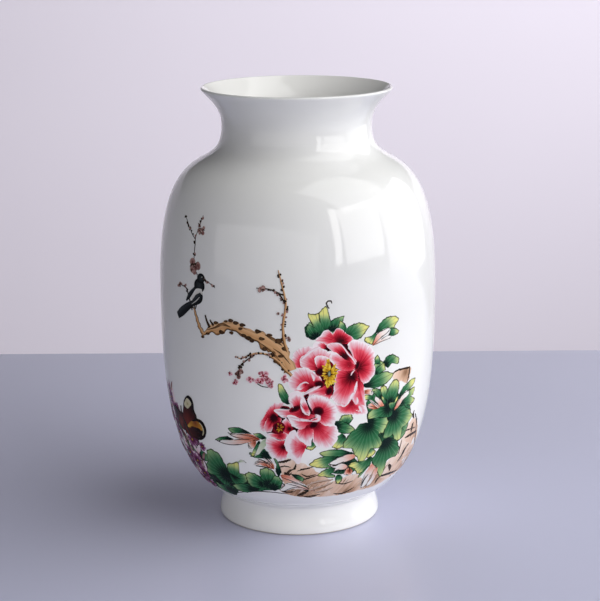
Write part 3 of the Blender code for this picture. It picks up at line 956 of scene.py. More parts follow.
leafBrush = {"paleOver": 1.2, "ruffle": -0.04, "bend": 0.15}  # higher tones are the pale backs of leaves
foliage = {
    "paintedLeavesTop": [
        (-0.2, (87, 1211), [33, 1255, 48, 1294, 80, 1271, 129, 1252, 174, 1261, 224, 1262, 202, 1228,
         129, 1207, 80, 1200, 47, 1215]),
        (-0.1, (95, 1213), [40, 1252, 46, 1276, 61, 1300, 78, 1293, 98, 1261, 135, 1235, 121, 1216,
         91, 1202, 62, 1217, 46, 1238]),
        (0, (186, 1246), [174, 1299, 198, 1314, 227, 1321, 251, 1324, 247, 1297, 228, 1275, 213, 1248,
         189, 1239, 158, 1250, 164, 1276]),
        (1.15, (121, 1236), [51, 1350, 78, 1343, 112, 1347, 115, 1321, 122, 1292, 145, 1254, 121, 1234,
         91, 1255, 72, 1289, 57, 1323]),
        (1.15, (145, 1251), [110, 1347, 128, 1368, 151, 1387, 162, 1361, 171, 1328, 177, 1299, 167, 1271,
         147, 1249, 126, 1277, 116, 1307]),
        (0.5, (261, 1231), [216, 1262, 228, 1300, 256, 1281, 268, 1246, 251, 1227]),
        (0.9, (272, 1209), [258, 1248, 298, 1272, 347, 1278, 401, 1251, 378, 1218, 347, 1188, 305, 1182,
         269, 1202]),
        (0.85, (448, 1211), [444, 1221, 464, 1251, 490, 1272, 522, 1285, 552, 1284, 583, 1279, 610, 1264,
         602, 1248, 585, 1231, 574, 1216, 544, 1212, 528, 1222, 496, 1219, 461, 1205, 444, 1203]),
        (0.6, (531, 1185), [550, 1220, 584, 1212, 611, 1192, 604, 1176, 568, 1169, 527, 1176, 539, 1193]),
        (0.95, (445, 1212), [449, 1219, 416, 1194, 376, 1190, 368, 1176, 378, 1162, 402, 1150, 418, 1143,
         434, 1167, 446, 1195]),
    ],
    "paintedLeavesRight": [
        (-0.9, (552, 705), [405, 744, 395, 780, 397, 818, 431, 854, 432, 879, 488, 876, 508, 880, 547, 850,
         617, 835, 646, 804, 669, 824, 741, 806, 760, 768, 760, 716, 769, 586, 697, 513, 605, 476, 486, 527,
         399, 567, 413, 666]),
        (1.1, (434, 837), [374, 863, 407, 861, 438, 850, 434, 832, 404, 828, 377, 834]),
        (0.3, (495, 826), [424, 889, 458, 891, 485, 875, 497, 847, 494, 825, 459, 845, 439, 865]),
        (0.6, (537, 797), [486, 891, 507, 899, 527, 888, 540, 864, 537, 835, 534, 798, 508, 818, 494, 843,
         485, 870]),
        (0.6, (564, 794), [598, 918, 622, 902, 631, 870, 625, 834, 610, 802, 575, 790, 539, 806, 530, 841,
         539, 872, 559, 898, 580, 915]),
        (0.9, (528, 784), [497, 840, 519, 819, 535, 793, 528, 780, 508, 797, 497, 822]),
        (1.2, (586, 741), [550, 780, 570, 786, 599, 784, 610, 803, 627, 817, 624, 791, 608, 769, 588, 742,
         581, 740, 561, 758]),
        (0.5, (474, 969), [441, 972, 433, 1026, 459, 1055, 501, 1033, 512, 992, 474, 961]),
        (0.3, (512, 1014), [494, 1028, 522, 1063, 567, 1067, 620, 1033, 610, 1000, 561, 1015, 532, 992]),
        (0.7, (458, 1023), [441, 1030, 437, 1065, 457, 1082, 474, 1059, 479, 1024]),
        (0.4, (381, 914), [363, 915, 394, 951, 446, 972, 516, 978, 578, 954, 549, 919, 506, 898, 436, 892]),
        (0.6, (447, 976), [432, 977, 458, 1013, 506, 1028, 515, 986, 473, 970]),
        (0.6, (662, 760), [727, 823, 755, 829, 789, 829, 785, 804, 772, 786, 750, 778, 804, 756, 791, 737,
         760, 723, 710, 736, 665, 756, 647, 774, 680, 787, 713, 801]),
        (0.95, (648, 812), [788, 880, 745, 885, 703, 871, 665, 855, 641, 830, 634, 804, 663, 816, 695, 825,
         725, 823, 753, 837, 779, 856]),
        (0.3, (551, 754), [403, 716, 411, 752, 440, 774, 483, 776, 541, 769, 581, 742, 592, 712, 562, 700,
         514, 705, 457, 711]),
        (0.5, (273, 701), [230, 729, 246, 760, 301, 764, 316, 732, 287, 694, 251, 698]),
        (0.15, (208, 699), [204, 728, 241, 729, 284, 710, 319, 682, 335, 665, 307, 645, 269, 646, 230, 659,
         206, 681]),
        (0.9, (267, 633), [196, 572, 218, 629, 256, 654, 287, 610, 264, 565, 229, 555]),
        (1.1, (449, 540), [395, 540, 448, 548, 503, 496, 466, 461, 411, 481]),
        (1, (73, 606), [39, 571, 71, 609, 92, 633, 101, 580, 74, 558]),
        (0.4, (606, 700), [638, 743, 689, 741, 752, 706, 803, 655, 774, 629, 746, 608, 705, 604, 708, 569,
         706, 530, 685, 520, 639, 547, 615, 582, 592, 568, 553, 567, 536, 590, 541, 628, 560, 662, 580, 696,
         601, 724]),
        (0.35, (569, 550), [548, 560, 583, 574, 646, 547, 699, 504, 730, 454, 722, 420, 664, 420, 623, 409,
         627, 370, 629, 324, 618, 291, 560, 342, 524, 395, 495, 407, 481, 453, 504, 484, 526, 520]),
        (0.2, (425, 694), [409, 709, 446, 717, 502, 711, 550, 702, 567, 670, 554, 639, 535, 610, 505, 606,
         468, 623, 431, 654]),
        (0.55, (419, 677), [407, 698, 361, 691, 314, 655, 282, 626, 266, 589, 258, 556, 293, 559, 325, 545,
         337, 510, 365, 483, 384, 454, 402, 438, 426, 454, 442, 487, 458, 525, 493, 523, 532, 514, 541, 542,
         515, 592, 485, 637, 446, 677]),
    ],
    "paintedLeavesLow": [
        (-0.3, (269, 465), [126, 532, 204, 554, 273, 543, 324, 524, 350, 484, 376, 453, 404, 431, 433, 442,
         460, 454, 470, 418, 415, 365, 363, 396, 352, 380, 288, 383, 226, 391, 186, 427, 192, 464,
         145, 511]),
        (0.1, (466, 446), [470, 452, 481, 419, 453, 383, 429, 351, 405, 329, 408, 359, 436, 400]),
        (1, (458, 464), [463, 481, 487, 448, 472, 417, 441, 389, 417, 363, 391, 366, 366, 398, 344, 419,
         305, 433, 331, 453, 364, 461, 404, 429, 434, 444, 452, 469]),
        (0.3, (328, 520), [120, 538, 155, 553, 204, 557, 260, 550, 300, 532, 348, 514, 296, 513, 264, 509,
         226, 505, 201, 513, 163, 517, 135, 523]),
        (1.1, (217, 501), [61, 469, 91, 496, 121, 510, 163, 514, 207, 513, 242, 508, 218, 493, 194, 477,
         179, 461, 210, 437, 169, 436, 131, 439, 99, 447, 75, 455]),
        (0.9, (227, 433), [115, 388, 139, 415, 175, 433, 217, 436, 232, 423, 218, 401, 199, 393, 230, 385,
         239, 365, 209, 364, 180, 368, 154, 381, 135, 378]),
        (0.9, (260, 379), [237, 356, 246, 382, 269, 379, 288, 357, 286, 327, 264, 308, 245, 328]),
        (-0.4, (-46, 397), [-51, 403, -3, 398, 34, 372, 25, 346, -21, 368]),
        (-0.5, (55, 281), [-5, 314, 30, 321, 66, 289, 56, 265, 21, 282]),
    ],
    "paintedLeavesLeft": [
        (-0.2, (-808, 517), [-831, 529, -756, 529, -684, 509, -664, 479, -732, 467, -799, 488]),
        (-0.4, (-769, 454), [-815, 458, -713, 472, -633, 449, -634, 406, -706, 395, -776, 423]),
        (-0.9, (-605, 265), [-789, 372, -714, 361, -635, 322, -522, 310, -450, 272, -513, 175, -643, 151,
         -736, 185, -804, 230, -839, 291]),
        (-0.65, (-446, 306), [-553, 408, -495, 373, -443, 327, -355, 337, -249, 351, -135, 348, -119, 288,
         -205, 267, -341, 240, -459, 216, -566, 235, -590, 300]),
        (-0.25, (-542, 199), [-680, 257, -646, 231, -560, 251, -498, 249, -481, 205, -543, 151, -611, 149,
         -675, 164, -698, 199]),
        (0.9, (-450, 330), [-483, 426, -436, 440, -386, 458, -396, 400, -398, 370, -359, 376, -345, 334,
         -383, 294, -471, 283, -490, 320, -491, 370]),
        (0, (-515, 335), [-636, 486, -577, 502, -538, 492, -509, 453, -495, 409, -481, 370, -483, 312,
         -524, 261, -590, 236, -611, 267, -640, 300, -710, 306, -750, 327, -719, 360, -663, 399,
         -648, 438]),
        (-0.05, (-319, 256), [-501, 262, -422, 294, -353, 300, -304, 294, -279, 269, -335, 237, -407, 214,
         -469, 225]),
        (0.25, (-245, 314), [-357, 380, -326, 395, -286, 390, -249, 369, -225, 340, -240, 291, -294, 273,
         -341, 287, -357, 322]),
        (0.05, (-205, 318), [-254, 404, -246, 423, -210, 441, -174, 430, -149, 402, -161, 345, -187, 281,
         -239, 268, -249, 336]),
        (-0.15, (-176, 295), [-179, 359, -153, 392, -127, 381, -105, 344, -124, 296, -163, 268, -198, 272,
         -203, 318]),
        (-0.1, (-126, 407), [-150, 513, -130, 491, -117, 452, -109, 418, -128, 380, -147, 416, -138, 463]),
        (-0.15, (-294, 650), [-430, 661, -397, 675, -352, 680, -316, 670, -285, 655, -270, 646, -317, 649,
         -373, 641, -407, 639]),
        (-0.15, (-409, 597), [-541, 572, -497, 597, -439, 613, -394, 599, -443, 586, -501, 575]),
        (0.6, (-203, 629), [-267, 651, -225, 660, -196, 642, -187, 630, -213, 620, -233, 626]),
        (-0.05, (-197, 521), [-305, 532, -280, 513, -240, 534, -206, 564, -182, 539, -165, 501, -217, 500,
         -260, 499, -298, 505]),
        (0.8, (-234, 604), [-237, 612, -225, 602, -242, 563, -274, 508, -293, 509, -275, 549, -255, 583]),
        (1.3, (-185, 618), [-177, 627, -208, 619, -231, 591, -256, 540, -277, 505, -242, 525, -212, 560,
         -184, 600]),
        (0.8, (-59, 848), [-109, 960, -89, 951, -66, 913, -47, 874, -46, 837, -86, 846, -105, 882,
         -113, 921]),
        (1.3, (-381, 457), [-395, 454, -370, 473, -347, 470, -331, 457, -352, 460, -374, 455]),
        (0.9, (-754, 328), [-763, 388, -712, 385, -692, 357, -721, 306, -768, 313]),
    ],
}
for name, rows in foliage.items():
    for row in traced(rows):
        pot = "leafPale" if row[0] > leafBrush["paleOver"] else "leafGreen"
        layShapes([row], pot, ruffle=leafBrush["ruffle"], bend=leafBrush["bend"])
    finishMotif(name)

peonyBuds = {
    "buds": [
        (0.8, (425, 1141), [420, 1138, 432, 1168, 447, 1195, 470, 1209, 501, 1215, 529, 1222, 544, 1215,
         529, 1198, 502, 1186, 476, 1173, 451, 1156]),
        (1.1, (427, 1140), [423, 1138, 456, 1158, 491, 1172, 528, 1179, 553, 1169, 530, 1159, 492, 1153,
         456, 1145]),
        (0.05, (474, 768), [399, 798, 424, 808, 450, 795, 478, 767, 441, 769, 411, 781]),
        (1.2, (483, 774), [410, 833, 438, 818, 465, 795, 489, 775, 476, 771, 447, 794, 421, 817]),
        (0.85, (502, 778), [450, 845, 477, 829, 500, 809, 519, 778, 491, 777, 473, 796, 450, 822]),
        (0.9, (612, 736), [728, 822, 695, 827, 664, 813, 635, 790, 614, 761, 604, 734, 631, 742, 659, 765,
         696, 786, 727, 801]),
        (0.3, (378, 879), [373, 888, 401, 892, 426, 885, 427, 862, 397, 865, 377, 872]),
        (1, (350, 495), [182, 465, 209, 484, 252, 502, 296, 513, 336, 509, 353, 496, 340, 481, 301, 470,
         256, 462, 218, 453]),
        (1.25, (307, 431), [186, 461, 219, 446, 256, 460, 291, 449, 310, 431, 290, 416, 262, 417, 236, 412,
         216, 404, 228, 428, 200, 443]),
        (1.1, (494, 407), [461, 243, 452, 304, 457, 356, 476, 397, 491, 415, 520, 394, 517, 356, 510, 312,
         507, 265, 491, 242]),
        (0.35, (-229, 619), [-432, 639, -408, 632, -372, 637, -337, 644, -299, 646, -267, 643, -236, 627,
         -225, 617, -264, 615, -302, 611, -341, 608, -375, 611, -407, 620]),
        (0.8, (-244, 612), [-530, 572, -491, 580, -435, 588, -392, 597, -341, 610, -302, 613, -264, 615,
         -241, 611, -275, 601, -319, 588, -360, 572, -407, 564, -456, 562, -500, 564]),
        (0.5, (-193, 453), [-283, 454, -266, 476, -244, 483, -216, 464, -185, 448, -212, 449, -244, 459,
         -267, 450]),
        (0.3, (-189, 448), [-247, 489, -228, 491, -203, 471, -182, 441, -205, 451, -230, 471]),
        (0.5, (-179, 443), [-214, 512, -199, 499, -184, 466, -176, 432, -193, 454, -206, 484]),
        (0.4, (-164, 438), [-192, 506, -172, 493, -154, 460, -154, 434, -172, 439, -184, 473]),
        (0.5, (-259, 599), [-307, 584, -279, 598, -252, 606, -260, 571, -283, 558, -300, 556]),
        (1.3, (55, 290), [-133, 275, -83, 334, -41, 335, 16, 317, 67, 281, -4, 291, -62, 284, -103, 268]),
        (0.75, (-110, 390), [-115, 396, -66, 392, -21, 365, 16, 337, 62, 311, -3, 324, -68, 347,
         -106, 368]),
        (0.1, (327, 402), [288, 385, 298, 406, 305, 426, 324, 420, 349, 405, 351, 375, 326, 368, 304, 372]),
        (0.95, (546, 376), [512, 243, 522, 302, 530, 362, 551, 380, 566, 329, 557, 277, 544, 244]),
    ],
    "bend": 0.3,
    "lines": [
        [(46.5, 24.9, 0.25), (46.6, 30.7, 0.5), (48.6, 34.5, 0.2)], [(18.7, 46.2, 0.12), (22.2, 44.9, 0.3),
        (25.6, 46.1, 0.12)], [(30.7, 43.4, 0.12), (32.5, 41.6, 0.3), (33.8, 37.9, 0.12)],
        [(-11.3, 38.0, 0.12), (-4.9, 35.3, 0.28), (3.5, 31.4, 0.12)], [(-8.1, 33.2, 0.12),
        (-1.3, 31.2, 0.28), (6.5, 28.0, 0.12)], [(-10.3, 27.2, 0.12), (-4.2, 30.0, 0.25), (0.6, 30.0, 0.1)],
        [(-27.5, 45.8, 0.12), (-23.6, 47.6, 0.28), (-19.4, 46.6, 0.1)], [(-25.2, 49.4, 0.12),
        (-20.4, 47.9, 0.28), (-16.2, 44.4, 0.12)], [(-21.0, 50.5, 0.12), (-18.1, 48.6, 0.28),
        (-15.8, 45.2, 0.12)], [(-27.1, 44.6, 0.12), (-22.6, 44.4, 0.28), (-16.3, 43.6, 0.12)],
        [(-52.7, 57.3, 0.1), (-47.8, 56.3, 0.22), (-41.8, 56.3, 0.24), (-36.0, 57.3, 0.22),
        (-31.4, 59.0, 0.1)], [(-43.1, 63.8, 0.12), (-40.8, 62.4, 0.24), (-37.5, 61.6, 0.22),
        (-33.1, 61.5, 0.1)], [(-39.2, 59.7, 0.1), (-34.1, 60.9, 0.22), (-29.3, 61.3, 0.22),
        (-24.1, 61.2, 0.12)], [(-37.2, 63.6, 0.08), (-31.4, 63.7, 0.18), (-25.4, 62.9, 0.1)],
        [(-30.4, 59.5, 0.1), (-29.7, 57.3, 0.22), (-28.7, 56.2, 0.1)], [(42.2, 114.1, 0.1),
        (44.6, 119.2, 0.2), (47.5, 121.0, 0.2), (52.9, 122.1, 0.1)], [(42.7, 114.0, 0.1),
        (47.1, 117.0, 0.18), (52.0, 119.5, 0.2), (53.4, 121.0, 0.08)], [(42.5, 113.8, 0.1),
        (47.6, 115.1, 0.18), (54.6, 116.2, 0.1)], [(41.2, 83.2, 0.08), (44.9, 80.0, 0.2),
        (48.3, 77.4, 0.1)], [(44.2, 83.0, 0.08), (46.9, 79.7, 0.2), (48.9, 77.6, 0.1)], [(45.2, 84.4, 0.08),
        (48.8, 82.1, 0.2), (51.8, 78.1, 0.1)], [(72.6, 82.1, 0.08), (66.4, 81.0, 0.2), (60.9, 75.0, 0.1)],
        [(40.1, 79.8, 0.08), (43.5, 78.6, 0.2), (47.5, 76.8, 0.08)],
    ],
    "lineTone": 0.2,
}
layShapes(traced(peonyBuds["buds"]), "budSalmon", bend=peonyBuds["bend"])
for line in peonyBuds["lines"]:
    layRibbon(line, "inkBrown", peonyBuds["lineTone"])
finishMotif("paintedBuds")

petalBrush = {
    "fade": 6.0,  # mm in from the rim
    "ruffle": 0.03,
    "hollowTone": 0.5,
    "hollowLean": (60, 120),
    "curlTone": (0.3, 0.8),
    "curlKnots": 0.1,
}
# petals from the back to the front over the bloom's dark ground, then its hollows (around, rise, half width,
# half height) and the pale curls of petal edges
peonies = {
    "paintedPeonySide": {
        "under": (0.5, (-118, 692), [-201, 694, -167, 778, -133, 820, -75, 829, -44, 809, -39, 714,
         -53, 645, -68, 573, -91, 521, -132, 523, -163, 576, -163, 640]),
        "hollows": [(-11.1, 70.2, 3.5, 3.4)],
        "curls": [],
        "stamens": (-10.7, 70.4, 1.9, 2.7, 14, -0.6),
        "petals": [
            (0.35, (-139, 746), [-222, 704, -215, 733, -189, 770, -174, 806, -139, 839, -99, 848, -60, 842,
             -34, 832, -60, 811, -100, 810, -114, 774, -140, 716, -172, 675, -201, 670, -221, 679]),
            (0.15, (-138, 759), [-200, 682, -191, 722, -169, 759, -140, 792, -121, 768, -95, 752, -102, 734,
             -129, 715, -147, 696, -158, 674, -187, 669]),
            (0.45, (-52, 693), [-91, 735, -64, 764, -48, 736, -35, 708, -12, 690, -35, 676, -56, 661,
             -67, 635, -95, 624, -87, 657, -89, 700]),
            (0.8, (-106, 654), [-188, 657, -160, 666, -119, 661, -84, 669, -61, 659, -72, 633, -99, 625,
             -134, 634, -168, 640]),
            (0.45, (-88, 580), [-191, 619, -179, 642, -144, 637, -113, 623, -86, 624, -73, 595, -63, 558,
             -68, 535, -76, 508, -98, 495, -126, 498, -154, 516, -178, 545, -190, 574]),
        ],
    },
    "paintedPeonyBig": {
        "under": (0.5, (189, 1031), [143, 1184, 206, 1222, 278, 1177, 354, 1147, 407, 1089, 409, 1006,
         370, 957, 361, 884, 344, 812, 266, 829, 209, 883, 137, 896, 49, 929, -20, 966, 15, 1038, 15, 1099,
         66, 1141]),
        "hollows": [(11.7, 102.2, 2.6, 2.5), (11.3, 95.1, 3.0, 2.2), (16.9, 91.0, 2.1, 2.6),
         (32.9, 103.9, 1.5, 2.9), (4.2, 88.3, 1.4, 2.2)],
        "curls": [[(32.9, 94.9, 0.19), (32.3, 91.3, 0.99), (31.3, 89.0, 0.3)], [(31.2, 88.7, 0.3),
         (30.1, 86.6, 1.19), (28.9, 84.5, 0.3)], [(33.2, 85.6, 0.23), (33.7, 83.3, 0.77),
         (33.2, 81.6, 0.19)], [(34.6, 80.4, 0.32), (36.0, 78.3, 1.02), (36.9, 76.1, 0.24)],
         [(29.2, 98.6, 0.15), (29.9, 100.1, 0.45), (31.6, 101.6, 0.15)], [(6.8, 101.5, 0.21),
         (8.3, 99.4, 1.0), (8.4, 97.1, 0.28)], [(17.1, 117.6, 0.14), (21.3, 117.5, 0.32),
         (24.2, 115.6, 0.37), (27.2, 111.4, 0.44), (30.2, 107.9, 0.51), (32.0, 104.8, 0.22)],
         [(1.1, 108.6, 0.18), (3.2, 110.7, 0.7), (6.0, 113.1, 0.77), (9.4, 115.2, 0.63),
         (12.2, 115.0, 0.43)], [(3.1, 89.6, 0.36), (6.6, 91.5, 0.78), (10.1, 93.2, 0.71),
         (12.2, 94.0, 0.21)], [(-1.4, 92.7, 0.14), (1.1, 95.3, 0.41), (3.8, 96.5, 0.43),
         (5.6, 95.7, 0.14)]],
        "stamens": (16.8, 100.8, 3.8, 7.0, 64, 1.0),
        "petals": [
            (0.45, (227, 1180), [94, 1196, 98, 1210, 123, 1224, 134, 1245, 163, 1253, 186, 1231, 206, 1254,
             232, 1255, 262, 1225, 293, 1204, 309, 1180, 285, 1168, 236, 1170, 192, 1176, 148, 1169,
             119, 1184]),
            (0.75, (150, 1158), [79, 1172, 90, 1187, 115, 1191, 136, 1181, 154, 1161, 136, 1148, 108, 1149,
             86, 1157]),
            (0.4, (42, 1059), [-32, 1099, -21, 1133, 7, 1155, 43, 1165, 75, 1164, 96, 1149, 92, 1112,
             96, 1060, 103, 1030, 67, 1028, 31, 1040, -4, 1044, -25, 1059]),
            (0.5, (333, 1027), [268, 1163, 287, 1179, 314, 1184, 346, 1173, 378, 1157, 404, 1139, 430, 1109,
             437, 1078, 431, 1049, 440, 1018, 441, 987, 429, 959, 404, 940, 371, 930, 346, 948, 325, 996,
             312, 1050, 299, 1104, 280, 1136]),
            (0.45, (326, 988), [317, 1011, 337, 1001, 346, 962, 368, 929, 378, 882, 385, 831, 397, 771,
             367, 768, 334, 776, 316, 806, 306, 842, 313, 883, 319, 928, 314, 974]),
            (0.75, (300, 826), [191, 857, 230, 826, 265, 823, 300, 846, 325, 816, 358, 811, 393, 790,
             401, 750, 362, 748, 312, 759, 264, 765, 224, 780, 196, 814]),
            (0.4, (296, 981), [216, 1021, 243, 1022, 281, 1014, 304, 1023, 324, 1009, 337, 978, 334, 933,
             327, 896, 312, 863, 289, 835, 267, 814, 239, 813, 208, 832, 185, 861, 174, 869, 192, 910,
             198, 954, 205, 992]),
            (0.3, (253, 1097), [153, 1163, 175, 1177, 205, 1178, 234, 1169, 253, 1145, 280, 1116, 303, 1091,
             324, 1063, 324, 1033, 301, 1017, 273, 1039, 242, 1072, 212, 1104, 183, 1132]),
            (0.85, (283, 1051), [147, 1117, 154, 1128, 176, 1134, 205, 1124, 232, 1100, 258, 1079,
             281, 1069, 305, 1052, 321, 1035, 305, 1018, 282, 1013, 255, 1018, 228, 1026, 206, 1039,
             191, 1059, 173, 1079, 154, 1091]),
            (0.45, (115, 1042), [7, 1084, 16, 1106, 41, 1124, 55, 1139, 80, 1156, 94, 1149, 108, 1161,
             137, 1147, 155, 1138, 173, 1122, 181, 1100, 173, 1078, 152, 1064, 130, 1040, 108, 1029,
             79, 1031, 40, 1039, 15, 1058]),
            (0.65, (122, 1042), [87, 1091, 96, 1109, 121, 1113, 150, 1106, 172, 1090, 169, 1071, 143, 1054,
             129, 1037, 111, 1038, 96, 1060]),
            (0.55, (73, 928), [-55, 951, -53, 981, -36, 1011, -11, 1037, 24, 1049, 60, 1040, 92, 1016,
             118, 992, 129, 969, 118, 951, 92, 949, 89, 934, 60, 916, 27, 909, -12, 913, -41, 924]),
            (0.75, (42, 951), [-11, 929, 7, 952, 35, 966, 50, 962, 35, 940, 10, 921]),
            (0.05, (187, 907), [121, 886, 154, 895, 187, 919, 195, 903, 180, 870, 169, 860, 143, 873]),
            (0.65, (183, 922), [28, 896, 43, 914, 72, 929, 108, 946, 137, 941, 174, 938, 189, 926, 182, 907,
             152, 894, 116, 885, 79, 890, 46, 880]),
        ],
    },
    "paintedPeonyFront": {
        "under": (0.5, (71, 733), [-30, 883, 7, 889, 55, 862, 108, 863, 173, 826, 194, 774, 186, 713,
         202, 663, 174, 602, 113, 602, 66, 615, 19, 573, -15, 537, -48, 591, -33, 662, -45, 728, -83, 782,
         -38, 816]),
        "hollows": [(10.9, 79.5, 3.2, 2.9), (8.4, 71.6, 2.9, 2.1), (-1.8, 81.3, 3.7, 1.7)],
        "curls": [[(-5.5, 86.8, 0.18), (-3.9, 84.3, 0.57), (-2.9, 82.0, 0.22)], [(-5.8, 76.4, 0.28),
         (-2.3, 75.3, 0.79), (1.0, 74.9, 0.87), (4.2, 74.5, 0.71), (7.4, 74.0, 0.36)], [(1.0, 83.9, 0.18),
         (2.4, 80.5, 0.71), (4.2, 78.2, 0.51), (6.1, 78.0, 0.18)], [(9.5, 77.7, 0.22), (11.5, 76.4, 0.81),
         (11.0, 74.2, 0.74), (7.7, 73.8, 0.29)]],
        "stamens": None,
        "petals": [
            (1, (1, 833), [-54, 866, -50, 897, -27, 914, 2, 916, 21, 900, 28, 876, 14, 849, -5, 828,
             -32, 821, -48, 845]),
            (0.7, (113, 779), [48, 857, 52, 878, 75, 884, 107, 888, 141, 877, 161, 862, 185, 843, 209, 820,
             217, 792, 211, 757, 208, 729, 195, 706, 171, 699, 144, 702, 123, 722, 109, 744, 88, 773,
             75, 801, 58, 836]),
            (1.15, (39, 816), [9, 850, 19, 878, 29, 881, 42, 853, 55, 815, 65, 787, 55, 773, 39, 784,
             26, 809, 22, 826]),
            (0.65, (97, 712), [75, 693, 85, 721, 115, 731, 143, 711, 178, 703, 205, 706, 224, 683, 226, 647,
             224, 614, 207, 589, 180, 570, 140, 571, 108, 582, 87, 605, 79, 642]),
            (0.75, (45, 707), [-9, 652, -8, 681, 9, 702, 35, 716, 66, 715, 83, 686, 83, 650, 73, 621,
             70, 591, 46, 592, 22, 611, -2, 630]),
            (1.05, (29, 580), [-83, 609, -68, 646, -51, 672, -23, 687, -7, 665, 7, 625, 34, 602, 45, 587,
             31, 554, 17, 516, 10, 480, -12, 473, -30, 500, -57, 535, -77, 572]),
            (0.7, (29, 789), [-141, 802, -111, 811, -78, 810, -45, 810, -18, 821, 14, 810, 41, 789, 74, 777,
             94, 773, 81, 760, 47, 747, 14, 744, -19, 762, -52, 772, -72, 761, -92, 762, -118, 781]),
            (0.95, (65, 730), [-63, 763, -56, 777, -26, 774, -7, 763, 23, 749, 53, 741, 80, 740, 73, 723,
             47, 716, 33, 699, 6, 692, -20, 703, -40, 714, -47, 735]),
            (1.3, (90, 743), [67, 747, 90, 757, 103, 767, 93, 779, 110, 777, 122, 759, 117, 741, 97, 732,
             77, 734]),
        ],
    },
}
for name, bloom in peonies.items():
    layShapes(traced([bloom["under"]]), "hollowMaroon")
    layShapes(traced(bloom["petals"]), "petalRose", fade=petalBrush["fade"], ruffle=petalBrush["ruffle"])
    for x, y, wide, tall in bloom["hollows"]:
        lean = hand.uniform(*petalBrush["hollowLean"])
        layDisc((x, y), wide, tall, "hollowMaroon", petalBrush["hollowTone"], lean)
    for curl in bloom["curls"]:
        layRibbon(curl, "petalCurl", hand.uniform(*petalBrush["curlTone"]), petalBrush["curlKnots"])
    if bloom["stamens"]:
        x, y, wide, tall, count, ripe = bloom["stamens"]
        layStamens((x, y), wide, tall, count, ripe)
    finishMotif(name)

